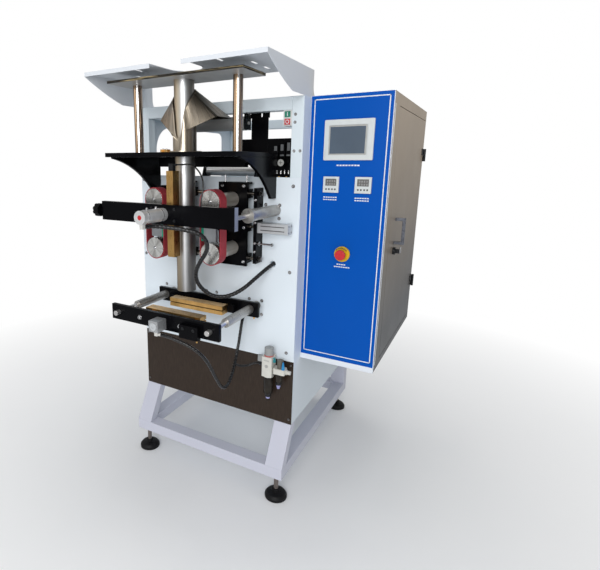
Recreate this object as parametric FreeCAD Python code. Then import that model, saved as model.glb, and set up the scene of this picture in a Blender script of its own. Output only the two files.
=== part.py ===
import FreeCAD, Part
import math
import os

Vector = FreeCAD.Vector

# Millimetres, +Z up. Pieces are laid out from the middle of the front panel's face, x to the right,
# y to the back and z from the floor, and moved at the end to stand on the middle of their box.

# Body housing
body_width = 780.0
body_depth = 870.0
body_bottom = 328.0
body_top = 1661.0
column_size = 45.0
rail_height = 48.0
sheet = 2.0
front_sheet = 3.0
panel_split = 615.0
panel_top = 1366.0
window_front = 112.0
window_rear_margin = 149.0
window_low = 1240.0
window_high = 1588.0
window_radius = 35.0
window_front_radius = 110.0

# Base
base_reach = 88.0
base_rail_width = 60.0
base_rail_height = 50.0
base_rail_bottom = 111.0
leg_width = 78.0
leg_depth = 50.0
foot_diameter = 96.0
foot_height = 28.0
foot_inset = 38.0
stud_diameter = 20.0

# Product side on top: canopy, plate, posts, forming tube and collar
tube_axis_y = -203.0
tube_outer = 76.0
tube_wall = 2.0
tube_bottom = 921.0
gusset_height = 99.0
canopy_top = body_top + gusset_height
canopy_reach = 318.0
canopy_back = 42.0
canopy_lip = 15.0
gusset_back = 92.0
gusset_toe = -110.0
gusset_fillet = 40.0
canopy_notch = 136.0
canopy_slot_width = 12.0
canopy_slot_length = 44.0
canopy_slot_x = 258.0
canopy_slot_first = -147.0
canopy_slot_pitch = 100.0
canopy_slots = 2
lip_slot_x = 178.0
lip_slot_y = -247.0
top_plate_width = 590.0
top_plate_front = -296.0
top_plate_back = -129.0
plate_drop = 46.0
top_plate_bottom = canopy_top - plate_drop
top_plate_thick = 10.0
post_diameter = 35.0
post_x = 225.0
post_y = -200.0
support_top = 1457.0
support_thick = 16.0
support_overhang = 55.0
support_front = -330.0
bracket_thick = 12.0
bracket_drop = 156.0
bracket_toe = 30.0
bracket_heel = 45.0
bracket_hollow_y = 125.0
bracket_hollow_drop = 78.0
collar_bar_half = 205.0
collar_bar_front = -105.0
collar_bar_depth = 30.0
collar_bar_height = 37.0
collar_gap = 5.0
collar_sheet = 2.0
collar_flange = 130.0
collar_flange_thick = 6.0
crest_back = 1690.0
crest_side_high = 1679.0
crest_side_low = 1641.0
crest_low = 1567.0
crest_front = 1497.0
wing_back_half = 119.0
wing_back_y = -50.0
wing_back_z = 1589.0
wing_side_half = 131.0
wing_side_y = -185.0
wing_side_z = 1585.0
right_tip_x = 40.0
right_tip_z = 1534.0
left_tip_x = 18.0
left_tip_z = 1517.0
wing_tip_proud = 5.0
right_front_gap = 23.0
left_front_gap = 2.0
wing_steps = 24

# Belt units on their guide rods
pulley_x = 131.0
pulley_high = 1280.0
pulley_low = 1085.0
pulley_radius = 42.0
pulley_face = 50.0
pulley_teeth = 36
pulley_tooth_depth = 2.0
pulley_front = -237.0
belt_thick = 3.0
belt_width = 46.0
fit_gap = 0.3
housing_diameter = 58.0
carriage_width = 130.0
carriage_front = -65.0
carriage_thick = 12.0
carriage_bottom = 1012.0
carriage_top = 1347.0
carriage_flange = 45.0
carriage_flange_thick = 8.0
guide_rod_diameter = 16.0
guide_rod_y = -32.0
guide_rod_high = 1302.0
guide_rod_low = 1042.0
bearing_block = 36.0
end_plate_x = 235.0
end_plate_thick = 14.0
end_plate_reach = 57.0
end_plate_bottom = 1025.0
end_plate_top = 1325.0
belt_cylinder_size = 40.0
belt_cylinder_length = 130.0
belt_cylinder_z = 1170.0
belt_cylinder_y = -30.0
belt_rod_diameter = 12.0
belt_rod_reach = 95.0
pad_thick = 10.0
pad_depth = 36.0
pad_clearance = 4.0
backing_front = -228.0
backing_width = 38.0
backing_thick = 16.0
backing_post = 24.0

# Vertical sealer
arm_back = -330.0
arm_thick = 18.0
arm_half = 302.0
arm_bottom = 1200.0
arm_top = 1273.0
arm_block = 22.0
knob_radius = 26.0
knob_thick = 26.0
knob_lobes = 8
seal_axis_z = 1237.0
seal_cylinder_diameter = 48.0
seal_cylinder_length = 128.0
seal_rod_diameter = 16.0
seal_bar_width = 30.0
seal_bar_depth = 38.0
seal_bar_front = -303.0
seal_bar_bottom = 1072.0
seal_bar_top = 1391.0
terminal_width = 20.0
terminal_depth = 16.0
terminal_height = 26.0
nozzle_length = 12.0
nozzle_diameter = 8.0
arm_rod_x = 290.0
arm_rod_z = 1238.0
arm_rod_diameter = 16.0
arm_sleeve_diameter = 44.0
arm_sleeve_ring = 52.0
arm_sleeve_ring_length = 16.0
arm_sleeve_reach = 240.0

# Horizontal jaws
jaw_plate_half = 253.0
jaw_plate_thick = 16.0
jaw_plate_bottom = 803.0
jaw_plate_height = 62.0
front_plate_front = -370.0
rear_plate_front = -64.0
jaw_shaft_x = 215.0
jaw_shaft_z = 835.0
jaw_shaft_diameter = 20.0
jaw_sleeve_diameter = 36.0
jaw_sleeve_reach = 262.0
jaw_sleeve_inside = 40.0
jaw_half = 131.0
jaw_depth = 44.0
jaw_bottom = 816.0
jaw_height = 36.0
jaw_slot = 4.0
jaw_slot_depth = 30.0
jaw_end_gap = 3.0
jaw_end_width = 26.0
jaw_end_depth = 36.0
jaw_end_height = 30.0
rear_jaw_front = -144.0
front_jaw_back = -262.0
jaw_bolt_diameter = 16.0
jaw_bolt_x = 105.0
knife_cylinder_size = 42.0
knife_cylinder_length = 52.0
knife_cylinder_x = 0.0
knife_cylinder_drop = 5.0
elbow_reach = 21.0
elbow_drop = 13.0
elbow_radius = 7.0
clamp_left = 95.0
clamp_right = 176.0
clamp_proud = 22.0
clamp_bottom = 797.0
clamp_top = 848.0

# Electrical cabinet beside the body
cabinet_width = 300.0
cabinet_front_y = 75.0
cabinet_back_y = body_depth + 7.0
cabinet_bottom = 611.0
cabinet_top = 1666.0
cabinet_sheet = 2.0
door_front_y = 182.0
door_rear_y = cabinet_back_y - 9.0
door_bottom = 640.0
door_top = 1622.0
door_gap = 2.0
door_lip = 18.0
hinge_axis_out = 8.0
hinge_axis_y = cabinet_back_y - 6.0
hinge_leaf_rear = 40.0
hinge_leaf_door = 45.0
hinge_radius = 6.0
hinge_pin_radius = 3.0
hinge_height = 60.0
hinge_low = 820.0
hinge_high = 1460.0
handle_y = 282.0
handle_low = 1098.0
handle_high = 1206.0
handle_reach = 40.0
handle_bar = 12.0
lock_z = 1070.0
lock_radius = 15.0
screen_x = 540.0
screen_z = 1503.0
screen_width = 182.0
screen_height = 146.0
screen_proud = 8.0
controller_size = 60.0
controller_z = 1340.0
controller_left_x = 484.0
controller_right_x = 604.0
controller_proud = 9.0
estop_x = 542.0
estop_z = 1076.0
estop_ring = 60.0
estop_ring_thick = 8.0
estop_button_radius = 20.0
estop_button_height = 22.0
estop_travel_room = 6.0

# Film roller under the front crossbar
roller_radius = 27.5
roller_half = 127.0
roller_y = 50.0
roller_z = 1577.0
roller_shaft_radius = 6.0
roller_plate_thick = 6.0
roller_plate_half = 25.0
roller_end_gap = 3.0
lower_roller_radius = 20.0
lower_roller_y = 160.0
lower_roller_z = 1384.0

# Upper bay: hanger, valve panel and mains switch
hanger_left = 152.0
hanger_right = 226.0
hanger_bottom = 1440.0
hanger_side_left = 106.0
hanger_side_bottom = 1450.0
hanger_side_top = 1514.0
hanger_tab_left = 138.0
hanger_tab_right = 231.0
hanger_tab_bottom = 1594.0
hanger_tab_top = 1640.0
hanger_thick = 4.0
valve_left = 226.0
valve_right = 385.0
valve_bottom = 1345.0
valve_top = 1514.0
valve_thick = 3.0
valve_depth = 28.0
valve_width = 22.0
valve_pitch = 27.0
valve_first = 262.0
gauge_x = 299.0
gauge_z = 1421.0
gauge_radius = 14.0
switch_left = 308.0
switch_bottom = 1556.0
switch_front = 5.0
switch_depth = 35.0

# Air service unit on the front panel
unit_y = -38.0
regulator_x = 296.0
regulator_width = 45.0
regulator_depth = 48.0
regulator_bottom = 553.0
regulator_top = 640.0
regulator_knob_radius = 18.5
regulator_knob_height = 36.0
regulator_bowl_radius = 20.0
regulator_bowl_bottom = 466.0
oiler_x = 347.0
oiler_width = 50.0
oiler_depth = 36.0
oiler_bottom = 572.0
oiler_top = 596.0
oiler_knob_radius = 13.0
oiler_knob_height = 36.0
oiler_bowl_radius = 14.0
oiler_bowl_bottom = 530.0
inlet_z = 597.0
inlet_reach = 21.0
inlet_radius = 8.0

# Hoses and cable
bundle_diameter = 16.0
bundle_hole = 24.0
bundle_hole_x = 285.0
bundle_hole_z = 1021.0
jaw_hose_diameter = 13.0
jaw_hose_hole = 20.0
jaw_hose_hole_x = 160.0
jaw_hose_hole_z = 795.0
feed_hose_diameter = 10.5
cable_diameter = 5.5


def block(x0, x1, y0, y1, z0, z1):
    """Box between two corners."""
    return Part.makeBox(x1 - x0, y1 - y0, z1 - z0, Vector(x0, y0, z0))


def rod_x(x0, x1, y, z, radius):
    """Round bar along x."""
    return Part.makeCylinder(radius, x1 - x0, Vector(x0, y, z), Vector(1, 0, 0))


def rod_y(y0, y1, x, z, radius):
    """Round bar along y."""
    return Part.makeCylinder(radius, y1 - y0, Vector(x, y0, z), Vector(0, 1, 0))


def rod_z(z0, z1, x, y, radius):
    """Round bar along z."""
    return Part.makeCylinder(radius, z1 - z0, Vector(x, y, z0), Vector(0, 0, 1))


def outline(points):
    """Flat face inside a closed line of points."""
    return Part.Face(Part.makePolygon(points + [points[0]]))


def mirrored(shape):
    """The same piece on the other side of the machine's middle plane."""
    return shape.mirror(Vector(0, 0, 0), Vector(1, 0, 0))


def group(shapes):
    """Like pieces that share a node and don't touch."""
    return Part.makeCompound(shapes)


def frame_inner():
    """Inner faces of the side sheets: half width, front and back."""
    return body_width / 2 - sheet, front_sheet, body_depth - sheet


def base_rails():
    """Ring of square tube that the feet and legs stand in, reaching out in front of the body."""
    half = body_width / 2
    top = base_rail_bottom + base_rail_height
    outer = block(-half, half, -base_reach, body_depth - sheet, base_rail_bottom, top)
    inner = block(-half + base_rail_width, half - base_rail_width, -base_reach + base_rail_width,
                  body_depth - sheet - base_rail_width, base_rail_bottom, top)
    return outer.cut(inner)


def leaning_leg(x0):
    """Front leg from the base rail's front up to the body's front edge."""
    low = base_rail_bottom + base_rail_height
    points = [Vector(x0, -base_reach, low), Vector(x0, -base_reach + leg_depth, low),
              Vector(x0, leg_depth, body_bottom), Vector(x0, 0, body_bottom)]
    return outline(points).extrude(Vector(leg_width, 0, 0))


def base_legs():
    """Two leaning front legs and two upright rear legs."""
    low = base_rail_bottom + base_rail_height
    half = body_width / 2
    back = body_depth - sheet
    front_right = leaning_leg(half - leg_width)
    rear_right = block(half - leg_width, half, back - leg_depth, back, low, body_bottom)
    return group([front_right, mirrored(front_right), rear_right, mirrored(rear_right)])


def levelling_foot(x, y):
    """Round pad and stud that hold the rail off the floor, as one turned piece."""
    pad = foot_diameter / 2
    neck = stud_diameter / 2
    profile = [Vector(0, 0, 0), Vector(pad, 0, 0), Vector(pad, 0, foot_height * 0.45),
               Vector(pad * 0.84, 0, foot_height * 0.8), Vector(neck + 8, 0, foot_height),
               Vector(neck + 8, 0, foot_height + 12), Vector(neck, 0, foot_height + 14),
               Vector(neck, 0, base_rail_bottom), Vector(0, 0, base_rail_bottom)]
    foot = outline(profile).revolve(Vector(0, 0, 0), Vector(0, 0, 1), 360)
    foot.translate(Vector(x, y, 0))
    return foot


def levelling_feet():
    """One foot under each corner of the base rails."""
    x = body_width / 2 - foot_inset
    front = -base_reach + foot_inset
    back = body_depth - sheet - foot_inset
    return group([levelling_foot(sx * x, y) for sx in (-1, 1) for y in (front, back)])


def columns():
    """Four square tubes from the body's floor to its top."""
    half, front, back = frame_inner()
    right_front = block(half - column_size, half, front, front + column_size, body_bottom, body_top)
    right_back = block(half - column_size, half, back - column_size, back, body_bottom, body_top)
    return group([right_front, mirrored(right_front), right_back, mirrored(right_back)])


def cross_rails():
    """Front and rear tubes between the column heads."""
    half, front, back = frame_inner()
    inner = half - column_size
    low = body_top - rail_height
    return group([block(-inner, inner, front, front + column_size, low, body_top),
                  block(-inner, inner, back - column_size, back, low, body_top)])


def side_rails():
    """Left and right tubes between the column heads."""
    half, front, back = frame_inner()
    low = body_top - rail_height
    right = block(half - column_size, half, front + column_size, back - column_size, low, body_top)
    return group([right, mirrored(right)])


def front_panel():
    """White face plate, with the holes that the jaws' sleeves and the hoses pass through."""
    plate = block(-body_width / 2, body_width / 2, 0, front_sheet, panel_split, panel_top)
    for x in (-jaw_shaft_x, jaw_shaft_x):
        plate = plate.cut(rod_y(0, front_sheet, x, jaw_shaft_z, jaw_sleeve_diameter / 2 + fit_gap))
    plate = plate.cut(rod_y(0, front_sheet, bundle_hole_x, bundle_hole_z, bundle_hole / 2))
    return plate.cut(rod_y(0, front_sheet, jaw_hose_hole_x, jaw_hose_hole_z, jaw_hose_hole / 2))


def lower_panel():
    """Dark plate under the white one."""
    return block(-body_width / 2, body_width / 2, 0, front_sheet, body_bottom, panel_split)


def side_sheet(with_window):
    """Left side sheet, with its round-cornered window if asked."""
    half = body_width / 2
    plate = block(-half, -half + sheet, front_sheet, body_depth - sheet, body_bottom, body_top)
    if with_window:
        window_back = body_depth - window_rear_margin
        hole = block(-half, -half + sheet, window_front, window_back, window_low, window_high)
        across = [e for e in hole.Edges if abs(e.tangentAt(e.FirstParameter).x) > 0.9]
        large = [e for e in across if e.BoundBox.YMax < window_back - 1 and e.BoundBox.ZMax > window_high - 1]
        hole = hole.makeFillet(window_front_radius, large)
        across = [e for e in hole.Edges if abs(e.tangentAt(e.FirstParameter).x) > 0.9]
        small = [e for e in across if e.BoundBox.YMin > window_back - 1 or
                 (e.BoundBox.ZMax < window_low + 1 and e.BoundBox.YMax < window_front + 1)]
        plate = plate.cut(hole.makeFillet(window_radius, small))
    return plate


def rear_panel():
    """Plate that closes the back up to the height of the front panel."""
    half = body_width / 2
    return block(-half, half, body_depth - sheet, body_depth, body_bottom, panel_top)


def bottom_plate():
    """Floor of the housing, between the columns' feet."""
    half, front, back = frame_inner()
    plate = block(-half, half, front, back, body_bottom, body_bottom + sheet)
    for x in (-half, half - column_size):
        for y in (front, back - column_size):
            corner = block(x, x + column_size, y, y + column_size, body_bottom, body_bottom + sheet)
            plate = plate.cut(corner)
    return plate


def canopy_slot(x, y):
    """Long hole along y in the canopy's top."""
    r = canopy_slot_width / 2
    run = canopy_slot_length / 2 - r
    low = canopy_top - canopy_lip
    slot = block(x - r, x + r, y - run, y + run, low, canopy_top)
    for end in (y - run, y + run):
        slot = slot.fuse(rod_z(low, canopy_top, x, end, r))
    return slot


def gusset_face(x):
    """Side view of a gusset: hollow lower edge in front, round inside corner at the rear foot."""
    lip = Vector(x, -canopy_reach, canopy_top - canopy_lip)
    toe = Vector(x, gusset_toe, body_top)
    share = 0.62
    drop = (canopy_top - canopy_lip - body_top) * share + gusset_height * 0.06
    middle = Vector(x, -canopy_reach + (gusset_toe + canopy_reach) * share, canopy_top - canopy_lip - drop)
    r = gusset_fillet
    foot = Vector(x, gusset_back + r, body_top)
    rise = Vector(x, gusset_back, body_top + r)
    corner = Vector(x, gusset_back + r - r * math.sqrt(0.5), body_top + r - r * math.sqrt(0.5))
    top_rear = Vector(x, gusset_back, canopy_top)
    top_front = Vector(x, -canopy_reach, canopy_top)
    return Part.Face(Part.Wire([Part.makeLine(top_front, lip), Part.Arc(lip, middle, toe).toShape(),
                                Part.makeLine(toe, foot), Part.Arc(foot, corner, rise).toShape(),
                                Part.makeLine(rise, top_rear), Part.makeLine(top_rear, top_front)]))


def canopy():
    """Folded sheet over the front: top, front lip and two side gussets that stand on the frame."""
    half = body_width / 2
    low = canopy_top - sheet
    shape = block(-half, half, -canopy_reach, canopy_back, low, canopy_top)
    lip_back = -canopy_reach + sheet
    shape = shape.fuse(block(-half, half, -canopy_reach, lip_back, canopy_top - canopy_lip, canopy_top))
    gusset = gusset_face(half - sheet).extrude(Vector(sheet, 0, 0))
    shape = shape.fuse([gusset, mirrored(gusset)])
    r = canopy_notch / 2
    notch = block(-r, r, -canopy_reach, tube_axis_y, canopy_top - canopy_lip, canopy_top)
    shape = shape.cut(notch.fuse(rod_z(canopy_top - canopy_lip, canopy_top, 0, tube_axis_y, r)))
    for side_x in (-canopy_slot_x, canopy_slot_x):
        for i in range(canopy_slots):
            shape = shape.cut(canopy_slot(side_x, canopy_slot_first + i * canopy_slot_pitch))
    for side_x in (-lip_slot_x, lip_slot_x):
        shape = shape.cut(canopy_slot(side_x, lip_slot_y))
    return shape.removeSplitter()


def top_plate():
    """Dark plate that carries the forming tube, on the two posts."""
    top = top_plate_bottom + top_plate_thick
    plate = block(-top_plate_width / 2, top_plate_width / 2, top_plate_front, top_plate_back,
                  top_plate_bottom, top)
    return plate.cut(rod_z(top_plate_bottom, top, 0, tube_axis_y, tube_outer / 2))


def plate_posts():
    """Two polished posts between the support plate and the top plate."""
    return group([rod_z(support_top, top_plate_bottom, x, post_y, post_diameter / 2)
                  for x in (-post_x, post_x)])


def forming_tube():
    """Round filling tube, open at both ends."""
    top = top_plate_bottom + top_plate_thick
    outer = rod_z(tube_bottom, top, 0, tube_axis_y, tube_outer / 2)
    return outer.cut(rod_z(tube_bottom, top, 0, tube_axis_y, tube_outer / 2 - tube_wall))


def collar_inner():
    """Inner radius of the collar's neck: the tube and the gap that film runs in."""
    return tube_outer / 2 + collar_gap


def crest_curve():
    """Side view of the collar's crest, from behind the tube to its front."""
    r = collar_inner() + collar_sheet
    heights = [(r, crest_back), (r * 0.5, crest_side_high), (-r * 0.5, crest_side_low), (-r * 0.87, crest_low),
               (-r, crest_front)]
    curve = Part.BSplineCurve()
    curve.interpolate([Vector(0, tube_axis_y + y, z) for y, z in heights])
    return curve


def crest_height(curve, y):
    """Height of the crest where the side view has this y."""
    low = curve.FirstParameter
    high = curve.LastParameter
    for _ in range(40):
        middle = (low + high) / 2
        if curve.value(middle).y > y:
            low = middle
        else:
            high = middle
    return curve.value(low).z


def collar_neck(curve):
    """Sleeve round the tube, cut to the crest's side view, on a flange."""
    inner = collar_inner()
    outer = inner + collar_sheet
    sleeve = rod_z(support_top, crest_back, 0, tube_axis_y, outer)
    low = Vector(0, tube_axis_y - outer, support_top)
    low_back = Vector(0, tube_axis_y + outer, support_top)
    start = curve.value(curve.FirstParameter)
    end = curve.value(curve.LastParameter)
    wire = Part.Wire([curve.toShape(), Part.makeLine(end, low), Part.makeLine(low, low_back),
                      Part.makeLine(low_back, start)])
    side_view = Part.Face(wire).extrude(Vector(4 * outer, 0, 0))
    side_view.translate(Vector(-2 * outer, 0, 0))
    sleeve = sleeve.common(side_view)
    flange_top = support_top + collar_flange_thick
    sleeve = sleeve.fuse(rod_z(support_top, flange_top, 0, tube_axis_y, collar_flange / 2))
    return sleeve.cut(rod_z(support_top, crest_back, 0, tube_axis_y, inner))


def wing_edge(share, tip_x, tip_z):
    """Outer edge of a wing: back corner, side corner and front tip, by share of the way round."""
    tip = Vector(tip_x, tube_axis_y - collar_inner() - collar_sheet - wing_tip_proud, tip_z)
    corners = [(0.0, Vector(0, wing_back_y, wing_back_z)),
               (0.3, Vector(wing_back_half, wing_back_y, wing_back_z)),
               (0.6, Vector(wing_side_half, wing_side_y, wing_side_z)), (1.0, tip)]
    for (a, start), (b, end) in zip(corners, corners[1:]):
        if share <= b:
            return start + (end - start) * ((share - a) / (b - a))
    return tip


def wing_rim(curve, step):
    """Crest point and outer point of the wings' sheet, by steps to either side of the back."""
    radius = collar_inner() + collar_sheet / 2
    side = -1 if step < 0 else 1
    share = abs(step) / wing_steps
    gap = left_front_gap if step < 0 else right_front_gap
    angle = share * (math.pi - gap / radius)
    y = tube_axis_y + radius * math.cos(angle)
    edge = wing_edge(share, left_tip_x, left_tip_z) if step < 0 else wing_edge(share, right_tip_x, right_tip_z)
    crest = Vector(side * radius * math.sin(angle), y, crest_height(curve, y))
    return crest, Vector(side * edge.x, edge.y, edge.z)


def collar_wings(curve):
    """Both wings as one sheet: straight lines from the crest to the outer edge, given a thickness."""
    rims = [wing_rim(curve, step) for step in range(-wing_steps, wing_steps + 1)]
    sections = []
    for i, (crest, edge) in enumerate(rims):
        before = rims[max(i - 1, 0)]
        after = rims[min(i + 1, len(rims) - 1)]
        along = (after[0] + after[1]) - (before[0] + before[1])
        normal = (edge - crest).cross(along)
        normal.normalize()
        normal = normal * collar_sheet
        sections.append(Part.makePolygon([crest, edge, edge + normal, crest + normal, crest]))
    return Part.makeLoft(sections, True, True)


def forming_collar():
    """Shoulder that turns flat film into a tube: neck and two wings."""
    curve = crest_curve()
    bore = rod_z(support_top, crest_back + collar_sheet * 2, 0, tube_axis_y, collar_inner())
    return collar_neck(curve).fuse(collar_wings(curve).cut(bore))


def support_half():
    """Half width of the support plate, which reaches past the guide rods' end plates."""
    return end_plate_x + support_overhang


def support_plate():
    """Thick black plate under the collar, on the two curved brackets."""
    low = support_top - support_thick
    half = support_half()
    plate = block(-half, half, support_front, 0, low, support_top)
    return plate.cut(rod_z(low, support_top, 0, tube_axis_y, collar_inner() + collar_sheet))


def support_brackets():
    """Curved plates that hold the support plate out from the front panel, and the bar across under it."""
    top = support_top - support_thick
    low = top - bracket_drop
    x = support_half() - bracket_thick
    toe = Vector(x, support_front + bracket_toe, top)
    toe_low = toe + Vector(0, bracket_toe / 8, -bracket_toe / 5)
    heel = Vector(x, -bracket_heel, low)
    curve = Part.Arc(toe_low, Vector(x, -bracket_hollow_y, top - bracket_hollow_drop), heel).toShape()
    wire = Part.Wire([Part.makeLine(Vector(x, 0, top), toe), Part.makeLine(toe, toe_low), curve,
                      Part.makeLine(heel, Vector(x, 0, low)), Part.makeLine(Vector(x, 0, low), Vector(x, 0, top))])
    right = Part.Face(wire).extrude(Vector(bracket_thick, 0, 0))
    bar = block(-collar_bar_half, collar_bar_half, collar_bar_front, collar_bar_front + collar_bar_depth,
                top - collar_bar_height, top)
    return group([right, mirrored(right), bar])


def toothed_wheel(x, z):
    """Timing pulley: its rim's teeth, drawn once round and extruded over the face width."""
    points = []
    for i in range(pulley_teeth):
        for share, depth in ((0.0, 0.0), (0.42, 0.0), (0.56, 1.0), (0.86, 1.0)):
            angle = 2 * math.pi * (i + share) / pulley_teeth
            r = pulley_radius - depth * pulley_tooth_depth
            points.append(Vector(x + r * math.cos(angle), pulley_front, z + r * math.sin(angle)))
    return outline(points).extrude(Vector(0, pulley_face, 0))


def right_pulleys():
    """Two pulleys of the right belt, each on a bearing housing that runs back to the carriage."""
    shapes = []
    for z in (pulley_high, pulley_low):
        wheel = toothed_wheel(pulley_x, z)
        housing = rod_y(pulley_front + pulley_face, carriage_front, pulley_x, z, housing_diameter / 2)
        shapes.append(wheel.fuse(housing))
    return group(shapes)


def belt_loop(radius, y0, y1):
    """Solid whose edge is the belt's path at this radius round the two pulleys."""
    straight = block(pulley_x - radius, pulley_x + radius, y0, y1, pulley_low, pulley_high)
    ends = [rod_y(y0, y1, pulley_x, z, radius) for z in (pulley_low, pulley_high)]
    return straight.fuse(ends).removeSplitter()


def right_belt():
    """Endless flat belt round the two right pulleys."""
    y0 = pulley_front + (pulley_face - belt_width) / 2
    y1 = y0 + belt_width
    inner = pulley_radius + fit_gap
    return belt_loop(inner + belt_thick, y0, y1).cut(belt_loop(inner, y0, y1))


def belt_backing():
    """Pad behind the belt's inner run, on a bar and a post that stand out from the carriage."""
    low = pulley_low + pulley_radius + pad_clearance
    high = pulley_high - pulley_radius - pad_clearance
    x0 = pulley_x - pulley_radius + fit_gap
    bar_x = pulley_x + 2 - backing_width / 2
    middle = (low + high) / 2
    half = backing_post / 2
    pad_front = pulley_front + (pulley_face - pad_depth) / 2
    pad = block(x0, x0 + pad_thick, pad_front, pad_front + pad_depth, low, high)
    web = block(x0 + pad_thick, bar_x, backing_front, backing_front + backing_thick, low, high)
    bar = block(bar_x, bar_x + backing_width, backing_front, backing_front + backing_thick, low, high)
    post = block(pulley_x - half, pulley_x + half, backing_front + backing_thick, carriage_front,
                 middle - half, middle + half)
    return pad.fuse([web, bar, post])


def right_carriage():
    """Plate behind the right belt, with a top flange and the blocks that slide on the guide rods."""
    x0 = pulley_x - carriage_width / 2
    x1 = pulley_x + carriage_width / 2
    back = carriage_front + carriage_thick
    plate = block(x0, x1, carriage_front, back, carriage_bottom, carriage_top)
    flange = block(x0, x1, carriage_front, carriage_front + carriage_flange,
                   carriage_top - carriage_flange_thick, carriage_top)
    shape = plate.fuse(flange)
    half = bearing_block / 2
    for z in (guide_rod_high, guide_rod_low):
        shape = shape.fuse(block(x0, x1, back, guide_rod_y + half, z - half, z + half))
        shape = shape.cut(rod_x(x0, x1, guide_rod_y, z, guide_rod_diameter / 2 + fit_gap))
    return shape.fuse(belt_backing()).removeSplitter()


def belt_piston():
    """Block on the carriage's side and the piston rod that reaches into the belt cylinder."""
    x1 = pulley_x + carriage_width / 2
    back = carriage_front + carriage_thick
    half = bearing_block / 2
    low = belt_cylinder_z - half
    lug = block(x1 - bearing_block, x1, back, belt_cylinder_y + half / 2, low, low + bearing_block)
    return lug.fuse(rod_x(x1, x1 + belt_rod_reach, belt_cylinder_y, belt_cylinder_z, belt_rod_diameter / 2))


def rod_end_plates():
    """Two plates that stand off the front panel and hold the guide rods."""
    inner = end_plate_x - end_plate_thick
    right = block(inner, end_plate_x, -end_plate_reach, 0, end_plate_bottom, end_plate_top)
    for z in (guide_rod_high, guide_rod_low):
        right = right.cut(rod_x(inner, end_plate_x, guide_rod_y, z, guide_rod_diameter / 2))
    right = right.cut(rod_x(inner, end_plate_x, belt_cylinder_y, belt_cylinder_z, guide_rod_diameter / 2))
    return group([right, mirrored(right)])


def belt_guide_rods():
    """Upper and lower rods that both carriages slide on."""
    return group([rod_x(-end_plate_x, end_plate_x, guide_rod_y, z, guide_rod_diameter / 2)
                  for z in (guide_rod_high, guide_rod_low)])


def belt_cylinder():
    """Square air cylinder outside the right end plate, bored for the piston rod."""
    half = belt_cylinder_size / 2
    body = block(end_plate_x, end_plate_x + belt_cylinder_length, belt_cylinder_y - half, belt_cylinder_y + half,
                 belt_cylinder_z - half, belt_cylinder_z + half)
    edges = [e for e in body.Edges if abs(e.tangentAt(e.FirstParameter).x) > 0.9]
    body = body.makeFillet(belt_cylinder_size / 10, edges)
    deep = end_plate_x + belt_rod_reach - (end_plate_x - pulley_x - carriage_width / 2) + fit_gap * 10
    return body.cut(rod_x(end_plate_x, deep, belt_cylinder_y, belt_cylinder_z, belt_rod_diameter / 2 + fit_gap))


def seal_arm():
    """Black bar across the front, with an end block, a star knob and a hole for the seal rod."""
    front = arm_back - arm_thick
    bar = block(-arm_half, arm_half, front, arm_back, arm_bottom, arm_top)
    bar = bar.fuse(block(arm_half - arm_block, arm_half, front - 6, arm_back, arm_bottom - 3, arm_top + 3))
    y = arm_back - arm_thick / 2
    z = (arm_bottom + arm_top) / 2
    knob = rod_x(-arm_half - 10, -arm_half, y, z, 8)
    disc = rod_x(-arm_half - 10 - knob_thick, -arm_half - 10, y, z, knob_radius)
    for i in range(knob_lobes):
        turn = 2 * math.pi * i / knob_lobes
        dent = rod_x(-arm_half - 10 - knob_thick, -arm_half - 10, y + knob_radius * 1.18 * math.cos(turn),
                     z + knob_radius * 1.18 * math.sin(turn), knob_radius * 0.3)
        disc = disc.cut(dent)
    bar = bar.fuse([knob, disc])
    bar = bar.cut(rod_y(front, arm_back, 0, seal_axis_z, seal_rod_diameter / 2 + fit_gap))
    return bar


def seal_arm_support():
    """Sleeve on the front panel and the rod that carries the arm's right end."""
    sleeve = rod_y(-arm_sleeve_reach, 0, arm_rod_x, arm_rod_z, arm_sleeve_diameter / 2)
    rod = rod_y(arm_back, -arm_sleeve_reach, arm_rod_x, arm_rod_z, arm_rod_diameter / 2)
    ring = rod_y(-arm_sleeve_reach, -arm_sleeve_reach + arm_sleeve_ring_length, arm_rod_x, arm_rod_z,
                 arm_sleeve_ring / 2)
    return sleeve.fuse([rod, ring])


def seal_cylinder():
    """Round air cylinder in front of the arm, with the elbow that its hose leaves by."""
    back = arm_back - arm_thick
    front = back - seal_cylinder_length
    body = rod_y(front, back, 0, seal_axis_z, seal_cylinder_diameter / 2)
    bore = rod_y(back - 60, back, 0, seal_axis_z, seal_rod_diameter / 2 + fit_gap)
    return body.cut(bore).fuse(seal_elbow())


def seal_elbow():
    """Square elbow under the cylinder's front cap."""
    x, y, z = seal_hose_start()
    half = elbow_radius
    return block(x - half, x + half, y - 2 * half, y, z - half, seal_axis_z - seal_cylinder_diameter / 2 + 2)


def seal_hose_start():
    """Middle of the elbow's rear face, where the bundle starts."""
    front = arm_back - arm_thick - seal_cylinder_length
    return 0, front + 21, seal_axis_z - seal_cylinder_diameter / 2 - 10


def seal_bar():
    """Heated brass bar and the piston rod that pushes it to the tube."""
    half = seal_bar_width / 2
    bar = block(-half, half, seal_bar_front, seal_bar_front + seal_bar_depth, seal_bar_bottom, seal_bar_top)
    rod = rod_y(arm_back - arm_thick - 30, seal_bar_front, 0, seal_axis_z, seal_rod_diameter / 2)
    x, y, z = cable_start()
    terminal = block(x - nozzle_length - terminal_width, x - nozzle_length, y - terminal_depth / 2,
                     y + terminal_depth / 2, seal_bar_top, seal_bar_top + terminal_height)
    nozzle = rod_x(x - nozzle_length, x, y, z, nozzle_diameter / 2)
    return bar.fuse([rod, terminal, nozzle])


def cable_start():
    """Middle of the end face of the terminal's nozzle, on the bar's top."""
    half = seal_bar_width / 2
    return half - 4.5 + nozzle_length, seal_bar_front + 15, seal_bar_top + terminal_height - nozzle_diameter / 2


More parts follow.
